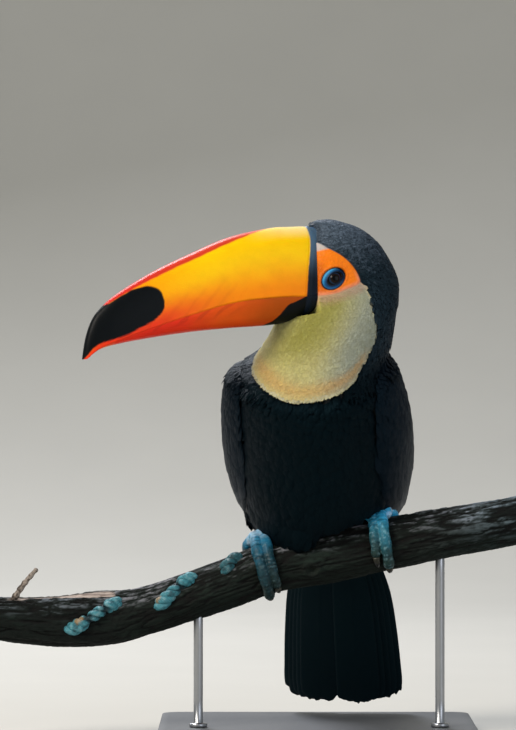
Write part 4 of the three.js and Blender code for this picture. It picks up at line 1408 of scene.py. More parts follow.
@dataclass
class Perch:
    """A cut length of weathered branch with a knot, a peeled strip and a twig stump."""

    rows: int = 620
    columns: int = 156
    ridge: float = 0.035
    knot: Triple = (-6, 112, 6)
    twig: tuple[tuple, tuple, float] = ((-236, 8, 98), (-211, 2, 130), 2.2)

    def bark_depth(self, x: Array, degrees: Array, radius: Array) -> Array:
        """Height of the bark in millimetres: long plates parted by cracks.

        The plates are 1 - |noise| of a noise drawn out along the branch and wrapped round it,
        so that its zero lines become cracks; a finer one splits the plates.
        """
        turn = np.radians(degrees)
        ring = np.stack([x / 38, radius * np.cos(turn) / 4, radius * np.sin(turn) / 4], -1)
        wander = 0.3 * rough_noise(ring * 0.6, 40)[..., None]
        plates = np.abs(rough_noise(ring + wander, 41, 2))
        splits = np.abs(rough_noise(ring * (2.2, 2.6, 2.6) + wander, 47, 2))
        crumbs = rough_noise(ring * (14, 6, 6), 53)
        cracks = -1.0 * smooth(0.22, 0.0, plates) - 0.6 * smooth(0.2, 0.0, splits)
        return 0.45 + cracks + 0.6 * plates + 0.22 * crumbs

    def peeled(self, x: Array, degrees: Array) -> Array:
        """Share to which the bark is gone from the strip along the top."""
        across = signed(degrees - 14)
        wave = 3 * rough_noise(np.stack([x / 12, degrees / 20, 0 * x], -1), 61)
        return smooth(17, 11, np.abs(across) + wave) * smooth(-240, -226, x + wave) \
            * smooth(-148, -154, x + wave)

    def build(self) -> Shell:
        """Make the branch: bark along it, flat sawn ends, colours by height of the bark."""
        start, end = PERCH_SECTIONS[0, 0], PERCH_SECTIONS[-1, 0]
        caps = np.array([0, 0.25, 0.5, 0.75, 0.9, 0.97])
        share = np.concatenate([0 * caps, np.linspace(0, 1, self.rows), 0 * caps + 1])
        inner = np.concatenate([caps, np.ones(self.rows), caps[::-1]])
        x = (start + (end - start) * share)[:, None] + np.zeros(self.columns)
        degrees = np.arange(self.columns) / self.columns * 360 + np.zeros((len(share), 1))
        radius, turn = perch_centre(x)[1], np.radians(degrees)
        wave = np.sin(3 * turn + x / 31) + 0.7 * np.sin(5 * turn - x / 19)
        bark = self.bark_depth(x, degrees, radius)
        bare = self.peeled(x, degrees)
        across = signed(degrees - self.knot[1]) / 180 * math.pi * radius
        from_knot = np.hypot((x - self.knot[0]) / 1.25, across) / self.knot[2]
        knot = 2.4 * np.exp(-((from_knot - 0.75) ** 2) * 9) - 1.6 * smooth(0.5, 0.2, from_knot)
        knot = knot + 0.35 * np.sin(from_knot * 22) * smooth(1.3, 0.8, from_knot)
        height = bark * (1 - bare) * smooth(0.2, 1.1, from_knot) - 0.7 * bare + knot
        fade = smooth(0, 0.012, np.minimum(share, 1 - share))[:, None]
        reach = (radius * (1 + self.ridge * wave) + height * (0.4 + 0.6 * fade)) * inner[:, None]
        points = off_perch(x, reach, degrees)
        colours = self.colour(points, degrees, bark, bare, from_knot, inner[:, None] + 0 * x, reach)
        return closed_shell(points, colours)

    def colour(self, points: Array, degrees: Array, bark: Array, bare: Array, from_knot: Array,
               inner: Array, reach: Array) -> Array:
        """Bark colours: black cracks and dark green underside as painted shade, brown flanks,
        grey-lilac tops as painted highlight, a darker left end.
        """
        broad = rough_noise(points / (55, 18, 18), 71)
        fine = rough_noise(points / (7, 2.2, 2.2), 73)
        upward = np.cos(np.radians(degrees))
        # Painted light: lighter, greyer and bluer towards the right end, out of the bird's shadow.
        right_end_light = smooth(60, 150, points[..., 0])
        flank = blend(linear("#17221c"), linear("#565a5b"), right_end_light)
        # Painted shade: near black in the cracks, a little lighter facing up.
        colour = blend(even(points, "#090e0b"), flank,
                       smooth(0.3, 1.2, bark + 0.3 * fine + 0.2 * upward))
        # Painted highlight on upward ridges in grey-lilac, painted shade on the underside in dark
        # green and near black in the cracks.
        colour = painted(
            colour,
            ("#97969e", 0.8 * smooth(0.6, 1.3, bark + 0.4 * fine)
             * smooth(0.15, 0.95, upward + 0.3 * broad + 0.2 * right_end_light)),
            ("#0f1813", 0.7 * smooth(0.0, 0.7, 0.6 * broad - 0.8 * upward)),
            ("#080807", smooth(0.2, -0.5, bark)))
        peel = painted(even(points, "#a2948a"), ("#6f6158", smooth(0, 0.7, fine)))
        colour = blend(colour, peel, bare)
        colour = painted(colour, ("#1c211c", 0.6 * smooth(0.9, 0.4, from_knot)))
        # Darker and a little greener towards the left end.
        left_end_darkening = smooth(-120, -180, points[..., :1]) * (1 - bare[..., None])
        colour = colour * (1 - left_end_darkening * (0.5, 0.42, 0.4)) * (1 + right_end_light[..., None] * (-0.05, 0.18, 0.3))
        rings = 0.5 + 0.5 * np.sin(reach * 4.2 + 0.6 * fine)
        wood = painted(even(points, "#b58f62"), ("#7c5936", 0.7 * rings),
                       ("#2c2823", smooth(0.86, 0.96, inner)))
        return blend(colour, wood, smooth(0.999, 0.98, inner))

    def make(self) -> None:
        """Build the branch and its twig stump."""
        make_piece("perch_bark", self.build(), BARK_FINISH, "perch")
        first, last, radius = self.twig
        share = pole_spaced(60)
        path = np.array(first) + (np.array(last) - first) * share[:, None]
        path[:, 0] += 0.5 * np.sin(share * 7)
        rough = 1 + 0.12 * np.sin(share * 40)
        flare = 1.25 - 0.5 * share + 0.9 * smooth(0.3, 0.0, share)
        reach = radius * flare * round_ends(share, 0.04) * rough
        tube = tube_grid(path, reach, np.array([0, 1, 0]), 20)
        bumps = rough_noise(tube / 1.6, 77)
        tube = swollen(tube, 0.14 * bumps)
        dark = smooth(-0.1, 0.7, bumps + 0.5 * smooth(0.7, 0.2, share)[:, None])
        colours = painted(even(tube, "#8d837a"), ("#3a322c", dark))
        make_piece("twig_stump", closed_shell(tube, colours), BARK_FINISH, "perch_twig")


@dataclass
class RopeRun:
    """A turn of old rope that the bark has grown over: three strands laid round each other."""

    name: str
    x: Pair
    height: Pair
    pinches: tuple[float, ...] = ()
    tan_at: float = -1
    radius: float = 5.2
    sink: float = 1.2
    end_dive: float = 5.5
    lay_length: float = 18.0
    strands: int = 3
    tone: float = 1.0

    def path(self, t: Array) -> Array:
        """Middle of the run at shares of its length; both ends dive into the bark."""
        dive = self.end_dive * (2 * t - 1) ** 4
        return around_perch(between(self.x, t), 0, 90 - between(self.height, t), self.sink - dive)

    def make(self) -> None:
        """Build the strands. Each circles the path once in a lay length."""
        t = np.linspace(0, 1, 150)
        path = self.path(t)
        length = run_length(path)
        along = unit(np.gradient(path, axis=0))
        across = unit(np.cross(along, np.array([0, 1, 0.2])))
        up = np.cross(along, across)
        strand = self.radius * 0.52
        shells = []
        for k in range(self.strands):
            turn = length / self.lay_length * FULL_TURN + k / self.strands * FULL_TURN
            offset = across * np.cos(turn)[:, None] + up * np.sin(turn)[:, None]
            pinched = sum(bell(t, at, 0.05) for at in self.pinches)
            swell = (1 - 0.42 * pinched) * (1 + 0.1 * np.sin(t * 9))
            centre = path + offset * ((self.radius - strand) * swell)[:, None]
            reach = strand * swell * round_ends(t, 0.05)
            grid = tube_grid(centre, reach, np.array([0.1, 1, 0.3]), 22)
            wear = rough_noise(grid / 2.4, 81)
            grid = swollen(grid, 0.07 * wear)
            # Painted shade between the strands, darker towards the rope's middle.
            deep = np.linalg.norm(grid - path[:, None], axis=-1) / self.radius
            spot = self.path(np.array(self.tan_at)) + np.array([0, -3, 4.5])
            tan = smooth(4.2, 2.4, np.linalg.norm(grid - spot, axis=-1) + 0.8 * wear)
            colours = painted(
                even(grid, "#4898a6"),
                ("#9cc6cc", 0.5 * smooth(0.2, 0.9, wear)),
                ("#0e3440", 0.65 * smooth(0, -0.8, wear)),
                ("#072029", 0.92 * smooth(0.93, 0.62, deep)),
                ("#b08a58", 0.8 * tan))
            yarns = ring_angles(22) * strand + length[:, None] * 0.7
            shells.append(closed_shell(grid, colours * self.tone, {"across": yarns}))
        make_piece(f"{self.name}_strands", joined(shells), ROPE_FINISH, self.name)


ROPE_RUNS = [
    RopeRun("rope_lower", (-188, -147), (-22, 46), (0.4, 0.7), 0.22),
    RopeRun("rope_middle", (-120, -89), (2, 56), (0.62,), 0.06),
    RopeRun("rope_upper", (-66, -55), (36, 62), tone=0.5),
]


@dataclass
class Stand:
    """A flat painted base with rounded corners and eased edges, and two steel rods."""

    width: float = 240
    depth: float = 210
    thickness: float = 10
    corner: float = 14
    centre_y: float = 42
    ease: float = 0.9
    rod_radius: float = 3.5
    rods: tuple[tuple[str, float], ...] = (("stand_rod_right", -90), ("stand_rod_left", 92))
    into_perch: float = 10
    gap: float = 0.3

    def outline(self, inset: float, steps: int = 18) -> Array:
        """The base's outline drawn in by an inset, starting at its +X side."""
        half = np.array([self.width, self.depth]) / 2 - self.corner
        turn = np.linspace(0, math.pi / 2, steps)
        arcs = []
        for k, (sx, sy) in enumerate(((1, 1), (-1, 1), (-1, -1), (1, -1))):
            angle = turn + k * math.pi / 2
            ring = np.stack([np.cos(angle), np.sin(angle)], -1) * max(self.corner - inset, 0.5)
            drawn_in = np.array([sx, sy]) * max(inset - self.corner + 0.5, 0)
            arcs.append(half * (sx, sy) - drawn_in + ring)
        flat = np.concatenate(arcs)
        return np.concatenate([flat + (0, self.centre_y), np.zeros((len(flat), 1))], axis=1)

    def make(self) -> None:
        """Build the base and the rods."""
        top, e = self.thickness, self.ease
        levels = [(60, 0), (6, 0), (e, 0), (0.3 * e, 0.3 * e), (0, e), (0, top / 2), (0, top - e),
                  (0.3 * e, top - 0.3 * e), (e, top), (6, top), (60, top)]
        rings = [self.outline(inset) + (0, 0, z) for inset, z in levels]
        first, last = (ring * 0 + ring.mean(axis=0) for ring in (rings[0], rings[-1]))
        rings = [first, *rings, last]
        make_piece("stand_plate", closed_shell(np.array(rings)), PAINT_FINISH, "stand_base")
        for name, x in self.rods:
            centre, radius = perch_centre(np.array(float(x)))
            head = centre[2] - radius + self.into_perch
            foot = self.thickness + self.gap
            r = self.rod_radius
            profile = [(0, foot), (r + 3, foot), (r + 3.4, foot + 0.5), (r + 3.4, foot + 2.2),
                       (r + 3, foot + 2.7), (r + 0.6, foot + 2.8), (r, foot + 3.3), (r, foot + 20),
                       (r, head - 20), (r, head - 1), (r - 0.8, head), (0, head)]
            reach, height = np.array(profile).T
            turn = ring_angles(40)
            grid = np.stack([x + reach[:, None] * np.cos(turn),
                             PERCH_Y + reach[:, None] * np.sin(turn),
                             height[:, None] + 0 * turn], -1)
            make_piece(f"{name}_bar", closed_shell(grid), STEEL_FINISH, name)


# ---- legs


@dataclass(frozen=True)
class Toe:
    """A toe: how far along the perch and round it it starts and ends, and its radius there."""

    start: Pair
    end: Pair
    radius: Pair


@dataclass(frozen=True)
class LegPlan:
    """Where one leg stands on the perch and where its joints are."""

    side: Side
    at: float
    hock: Triple
    thigh: Triple
    toes: tuple[Toe, ...]
    joint_along: float = -3
    joint_out: float = 6.5
    seat: float = 0.93
    claw_sweep: float = 30
    claw_inset: float = 3
    thigh_cuff: float = 8
    # Painted light and shade along the toes, root to tip: above 1 lightens the lit foot, below 1
    # darkens the shaded one.
    painted_light_and_shade: tuple[float, ...] = (1, 1, 1, 1, 1)

    def along_perch(self) -> Array:
        """The perch's direction where the leg stands."""
        return perch_axes(np.array(float(self.at)))[0]

    def joint(self) -> Array:
        """Centre of the joint that the toes spread from."""
        return around_perch(self.at, self.joint_along, 4, self.joint_out)

    def toe_path(self, toe: Toe, t: Array) -> Array:
        """Middle of a toe at shares of its length, wrapped round the perch."""
        along_by = between((toe.start[0], toe.end[0]), np.sqrt(t))
        degrees = between((toe.start[1], toe.end[1]), t)
        lift = (self.joint_out - toe.radius[0]) * (1 - t) ** 4
        return around_perch(self.at, along_by, degrees, between(toe.radius, t) * self.seat + lift)

    def claw_path(self, toe: Toe, t: Array) -> Array:
        """Middle of a claw at shares of its length, its point coming down to the bark."""
        turn = math.copysign(1, toe.end[1])
        degrees = toe.end[1] + turn * (self.claw_sweep * t - self.claw_inset)
        out = toe.radius[1] * (1.15 - 0.1 * t) * (1 - t * t) + 1.2 * t * t
        return around_perch(self.at, toe.end[0], degrees, out)


LEGS = [
    LegPlan(Side.LEFT, 53, (49, 40, 182), (51, 34, 200), (
        Toe((-1, 2), (-3.5, 136), (6.2, 4.9)), Toe((-4, 2), (-10, 108), (5.5, 4.3)),
        Toe((0, 2), (13, -84), (5.6, 4.2)), Toe((-5, 2), (-15, -78), (5, 3.9))),
            painted_light_and_shade=(1.5, 2, 2.2, 1.2, 1)),
    LegPlan(Side.RIGHT, -32, (-38, 40, 160), (-38, 38, 182), (
        Toe((-6, 2), (-10, 158), (6.2, 4.9)), Toe((-1, 2), (-3.5, 134), (5.5, 4.3)),
        Toe((-7, 2), (-19, -84), (5.6, 4.2)), Toe((-1, 2), (9, -78), (5, 3.9))),
            painted_light_and_shade=(1.1, 0.7, 0.5, 0.65, 0.65)),
]


@dataclass
class ThighForm(Form):
    """A feathered thigh: u runs from its top 0 to its cuff 1, v is the angle round it."""

    leg: LegPlan
    top_radius: float = 17
    cuff_radius: float = 8.5
    coat: float = 1.6

    @property
    def patch(self) -> Box:
        """The part of the unwrap that it fills."""
        left = 0.26 - 0.25 * self.leg.side.value
        return (left, 0.88, left + 0.46, 1.0)

    def reach(self, u: Array, v: Array, inset: float) -> Array:
        """Point at the thigh's radius less an inset, its ends rounded."""
        leg = self.leg
        low = around_perch(leg.at, leg.joint_along, -12, leg.joint_out + leg.thigh_cuff)
        top = np.array(leg.thigh, float)
        u = np.clip(u, 0, 1)
        radius = between((self.cuff_radius, self.top_radius), np.sqrt(1 - u))
        radius = (radius - inset) * round_ends(u, 0.3)
        down = unit(low - top)
        first = unit(np.array([1.0, 0, 0]) - down * down[0])
        second = np.cross(first, down)
        turn = np.radians(v)
        centre = top + (low - top) * u[..., None]
        return centre + first * (radius * np.cos(turn))[..., None] \
            + second * (radius * np.sin(turn))[..., None]

    def smooth_place(self, u: Array, v: Array) -> Array:
        """Outer surface of the thigh's coat."""
        return self.reach(u, v, 0)

    def slopes(self, u: Array, v: Array) -> Arrays:
        """Slopes and normal, kept clear of the two ends."""
        return super().slopes(np.clip(u, 0.05, 0.95), v)

    def place(self, u: Array, v: Array) -> Array:
        """Point of the thigh's skin."""
        return self.reach(u, v, self.coat)


@dataclass
class Foot:
    """One foot: toes, joint and shank melted together and scaled, with four horn claws."""

    plan: LegPlan
    cell: float = 0.6
    slim: float = 0.8
    part: float = 0.9
    shank_radius: float = 5
    knuckle_radius: float = 6
    plate_length: float = 3.3
    plate_groove: float = 0.2

    def toes(self) -> list[Toe]:
        """The toes, a little slimmer than their solids and parted so that a cleft shows."""
        made = []
        for k, toe in enumerate(self.plan.toes):
            mate = self.plan.toes[k ^ 1]
            away = math.copysign(self.part, toe.end[0] - mate.end[0])
            radius = (toe.radius[0] * self.slim, toe.radius[1] * self.slim)
            made.append(Toe(toe.start, (toe.end[0] + away, toe.end[1]), radius))
        return made

    def bones(self) -> list[tuple[Array, Array, float]]:
        """Paths of the toes and the shank with their radii and how roundly they end."""
        t = pole_spaced(60)
        rows = []
        for toe in self.toes():
            pads = 1 + 0.07 * np.cos(t * FULL_TURN * 3.2)
            rows.append((self.plan.toe_path(toe, t), between(toe.radius, t) * pads, 0.08))
        joint = self.plan.joint()
        shank = joint + (np.array(self.plan.hock, float) - joint) * t[:, None]
        rows.append((shank, self.shank_radius * (1.2 - 0.35 * np.sin(np.pi * t)), 0.14))
        return rows

    def build(self) -> Shell:
        """Melt the bones together, then raise a plate across the top every few millimetres.

        The nearest path gives each point its length along the toe and how far it faces away
        from the perch. Plates are a raised cosine parted by narrow grooves; the undersides
        get rounded grains instead.
        """
        along_perch, joint = self.plan.along_perch(), self.plan.joint()
        shells, rows = [], []
        for k, (path, radius, part) in enumerate(self.bones()):
            t = pole_spaced(len(path))
            reach = radius * round_ends(t, part)
            shells.append(closed_shell(tube_grid(path, reach, along_perch, 28)))
            rows.append(np.column_stack([path, run_length(path), t, 0 * t + k]))
        polar, turn = crossed(np.linspace(0, math.pi, 24), ring_angles(32))
        ball = np.stack([np.sin(polar) * np.cos(turn), np.sin(polar) * np.sin(turn),
                         np.cos(polar)], -1)
        for shift, size in ((0, 1.06), (-5.5, 0.95), (5.5, 0.92)):
            middle = joint + along_perch * shift - np.array([0, 0, abs(shift) * 0.12])
            shells.append(closed_shell(middle + ball * self.knuckle_radius * size))
        skin = fused(shells, self.cell)
        rows = np.concatenate(rows)
        paths = rows[None, :, :3].astype(np.float32)
        gap = ((skin.points[:, None].astype(np.float32) - paths) ** 2).sum(-1)
        near = rows[gap.argmin(axis=1)]
        path, (length, share, kind) = near[:, :3], near[:, 3:].T
        out, away = unit(skin.points - path), unit(path - perch_centre(path[:, 0])[0])
        is_shank = kind == len(self.plan.toes)
        facing = np.where(is_shank, -out[:, 1], dot(out, away))
        top = smooth(-0.15, 0.35, facing)
        phase = length / self.plate_length + 0.3 * np.sin(length / 4.3 + kind * 5.0)
        phase = phase + 0.25 * smooth(0.55, 0.2, facing)
        part = np.abs(np.mod(phase, 1) - 0.5) * 2
        plate = 0.16 * np.cos(part * math.pi / 2) - self.plate_groove * smooth(0.72, 1.0, part)
        side_line = -0.3 * bell(facing, 0.12, 0.1)
        grains = 0.22 * rough_noise(skin.points / 1.25, 91, 2)
        height = top * (plate + side_line) + (1 - top) * grains
        height = height + 0.06 * rough_noise(skin.points / 0.9, 95)
        skin.colours = self.colour(skin.points, share, is_shank, top, plate, grains)
        # Painted light and shade for each leg along its toes.
        tone = np.interp(share, np.linspace(0, 1, 5), self.plan.painted_light_and_shade)
        skin.colours = skin.colours * np.where(is_shank, 1, tone)[:, None]
        skin.points = skin.points + point_normals(skin) * (height - 0.05)[:, None]
        return skin

    def colour(self, points: Array, share: Array, is_shank: Array, top: Array, plate: Array,
               grains: Array) -> Array:
        """Turquoise-blue plates, pale near the joint and on their crowns as painted highlight, dark
        seams as painted shade, greener towards the claws.
        """
        patchy = rough_noise(points / 5, 97)
        teal = np.where(is_shank, 0, smooth(0.16, 0.5, share + 0.12 * patchy))
        green = np.where(is_shank, 0, smooth(0.45, 0.9, share + 0.12 * patchy))
        # Painted highlight near the joint and on the shank.
        light = np.where(is_shank, 0.8, smooth(0.26, 0.02, share)) * smooth(-0.4, 0.5, patchy)
        plate_highlight = smooth(0.1, 0.7, rough_noise(points / 1.6, 101)) * top
        return painted(
            even(points, "#2782a8"),
            ("#134048", 0.9 * teal), ("#182c27", 0.9 * green), ("#a9c2d8", 0.75 * light),
            # Painted highlight on the plate crowns and painted shade in the seams between them.
            ("#7fa5ae", 0.3 * plate_highlight * smooth(0.05, 0.15, plate)),
            ("#10282f", 0.45 * top * smooth(-0.0, -0.15, plate)),
            ("#2c3f3c", 0.5 * (1 - top) * smooth(0.0, 0.25, grains)))

    def make(self) -> None:
        """Build the foot and its claws."""
        word = self.plan.side.word
        make_piece(f"foot_skin_{word}", self.build(), FOOT_FINISH, f"foot_{word}")
        side = self.plan.along_perch()
        for k, toe in enumerate(self.toes(), start=1):
            t = pole_spaced(70)
            path = self.plan.claw_path(toe, t)
            radius = (2.7 + (0.7 - 2.7) * t**1.3) * round_ends(t, 0.1)
            turn = ring_angles(32)
            ridge = 1 + 0.06 * np.cos(2 * turn) + 0.02 * np.cos(7 * turn)
            grid = tube_grid(path, radius[:, None] * ridge, side, 32)
            bands = rough_noise(grid * (0.5, 0.5, 0.5), 99)
            dark = smooth(-0.1, 0.9, t[:, None] + 0.25 * bands)
            colours = painted(even(grid, "#34342b"), ("#0f0f0e", dark))
            make_piece(f"claw_horn_{word}_{k}", closed_shell(grid, colours), CLAW_FINISH,
                       f"claw_{word}_{k}")


# ---- feathers


@dataclass(frozen=True)
class Vane:
    """The outline of a small feather as a grid: a from -1 to 1 across it, t from root to tip.

    Its width at t is (0.5 + 0.5 smooth(t)) sqrt(1 - ((t - 0.6) / 0.43)^2), the root taken where
    t is below 0.6 as the first factor alone.
    """

    across: tuple[float, ...] = (-1, 0, 1)
    along: tuple[float, ...] = (0, 0.35, 0.65, 0.87, 1)
    ragged: float = 0.06
    camber: float = 0.1

    def grid(self) -> Arrays:
        """Across and along values of the grid and the width's share in each row."""
        t, a = crossed(self.along, self.across)
        tip = np.clip((t - 0.6) / 0.43, 0, 1)
        return a, t, (0.5 + 0.5 * smooth(0, 0.55, t)) * np.sqrt(1 - tip * tip)

    def quads(self) -> Array:
        """Point numbers of the grid's faces."""
        rows, columns = len(self.along), len(self.across)
        ids = np.arange(rows * columns).reshape(rows, columns)
        return np.stack([ids[:-1, :-1], ids[:-1, 1:], ids[1:, 1:], ids[1:, :-1]], -1).reshape(-1, 4)


@dataclass
class Coat:
    """A coat of small overlapping vanes over one region of a form.

    Roots follow a low-discrepancy sequence carried through the region's area, so that they lie
    evenly. A vane's point is its root, plus s along its heading, plus x across, plus the normal
    times (lift - bend_along s^2/2 - bend_across x^2/2), with s and x in millimetres.
    """

    name: str
    form: Form
    u_range: Pair
    v_range: Pair
    density: Callable[[Array, Array, Array], Array]
    heading: Callable[[Array, Array, Array, Array], Array]
    colour: Callable[[Array, Array], Array]
    count: int
    length: Callable[[Array], Array]
    slimness: float
    lift: Callable[[Array], Array]
    unwrap: Callable[[Array, Array], Array]
    seed: int
    vane: Vane = Vane()
    sway: float = 7
    shade: float = 0.14
    # Brightness at a vane's root: painted shade where the vanes overlap, rising towards the tip.
    root_shade: float = 0.72
    sink: float = 0.35
    cells: int = 220

    def roots(self) -> Arrays:
        """Parameters of the roots, evenly spread by area times density."""
        u = np.linspace(*self.u_range, self.cells)
        v = np.linspace(*self.v_range, self.cells)
        uu, vv = crossed(u, v)
        along, around, _ = self.form.slopes(uu, vv)
        area = np.linalg.norm(np.cross(along, around), axis=-1)
        weight = area * self.density(uu, vv, self.form.place(uu, vv)) + 1e-9
        rows = np.cumsum(weight.sum(axis=1))
        rows /= rows[-1]
        within = np.cumsum(weight, axis=1)
        within /= within[:, -1:]
        steps = np.arange(1, self.count + 1)[:, None] * np.array(GOLDEN_STEPS) + self.seed * 0.137
        first, second = np.mod(steps, 1).T
        i = np.clip(np.searchsorted(rows, first), 0, self.cells - 1)
        before = np.where(i > 0, rows[i - 1], 0)
        part = (first - before) / np.maximum(rows[i] - before, 1e-12)
        flat = (within + np.arange(self.cells)[:, None]).ravel()
        j = np.clip(np.searchsorted(flat, second + i) - i * self.cells, 0, self.cells - 1)
        low = np.where(j > 0, within[i, j - 1], 0)
        share = (second - low) / np.maximum(within[i, j] - low, 1e-12)
        du, dv = u[1] - u[0], v[1] - v[0]
        return u[i] + (part - 0.5) * du, v[j] + (share - 0.5) * dv

    def build(self) -> Shell:
        """Grow the vanes."""
        rng = np.random.default_rng(self.seed)
        u, v = self.roots()
        root = self.form.place(u, v)
        along, _, normal = self.form.slopes(u, v)
        heading = self.heading(u, v, root, along)
        heading = unit(heading - dot(heading, normal)[:, None] * normal)
        sway = np.radians(rng.normal(0, self.sway, len(u)))[:, None]
        heading = heading * np.cos(sway) + np.cross(normal, heading) * np.sin(sway)
        across = np.cross(normal, heading)
        length = self.length(u) * rng.uniform(0.85, 1.15, len(u))
        tip_u, tip_v = self.form.moved(u, v, heading, 0.65 * length)
        keep = self.density(tip_u, tip_v, self.form.place(tip_u, tip_v)) > 0
        colour = self.colour(tip_u, tip_v)
        u, v, root, normal, heading, across, length, colour = (
            k[keep] for k in (u, v, root, normal, heading, across, length, colour))
        bend_s = np.minimum(self.form.bend(u, v, heading), 1.0 / length)
        bend_x = self.form.bend(u, v, across)
        a, t, share = self.vane.grid()
        n = len(u)
        width = length / self.slimness * rng.uniform(0.85, 1.15, n)
        rough = rng.uniform(-1, 1, (n,) + t.shape) * self.vane.ragged * smooth(0.5, 1.0, t)
        rise = self.lift(u) * rng.uniform(0.8, 1.12, n)
        bright = rng.uniform(1 - self.shade, 1 + self.shade, n)
        root, heading, across, normal, colour, spot, first, length, width, rise, bright, bend_s, \
            bend_x = (k[:, None, None] for k in (
                root, heading, across, normal, colour, self.unwrap(u, v), np.arange(n) * t.size,
                length, width, rise, bright, bend_s, bend_x))
        s = (t + rough) * length
        x = a * share / 2 * width
        h = -self.sink + (rise + self.sink) * smooth(-0.25, 0.8, t)
        h = h - self.vane.camber * width * a * a * share
        h = h - bend_s * s * s / 2 - bend_x * x * x / 2
        points = root + heading * s[..., None] + across * x[..., None] + normal * h[..., None]
        shell = Shell(points.reshape(-1, 3), (self.vane.quads() + first).reshape(-1, 4))
        # Painted shade towards each vane's root; each vane is also a little darker towards its
        # edges.
        bright = bright * (self.root_shade + (1.04 - self.root_shade) * t) * (1 - 0.06 * np.abs(a))
        shell.colours = (colour * bright[..., None]).reshape(-1, 3)
        shell.values = {"across": x.ravel(), "along": s.ravel()}
        place = spot + UNIT_PATCH * np.stack([a / 2, t - 0.5], -1)
        shell.maps = {"OFBake": place.reshape(-1, 2)[shell.corners()]}
        return shell


def body_unwrap(u: Array, v: Array) -> Array:
    """Place on the unwrap of the skin for a section and angle."""
    left, bottom, right, top = BODY_PATCH
    across = left + (right - left) * np.mod((v + 180) / 360, 1)
    return np.stack([across, bottom + (top - bottom) * np.clip(u, 0, 18) / 18], -1)


def head_heading(u: Array, v: Array, root: Array, along: Array) -> Array:
    """Feathers point away from the bill's root on the head and down the body below it."""
    origin = BILL_ROOT + AHEAD * 18
    climb = 0.8 * np.maximum(root[..., 2:] - BILL_ROOT[2], 0)
    away = unit(root - origin - climb * np.array([0, 0, 1.0]))
    down = unit(along)
    return blend(away, down, smooth(5.2, 8.2, u))


def down_heading(u: Array, v: Array, root: Array, along: Array) -> Array:
    """Feathers point down the body."""
    return along


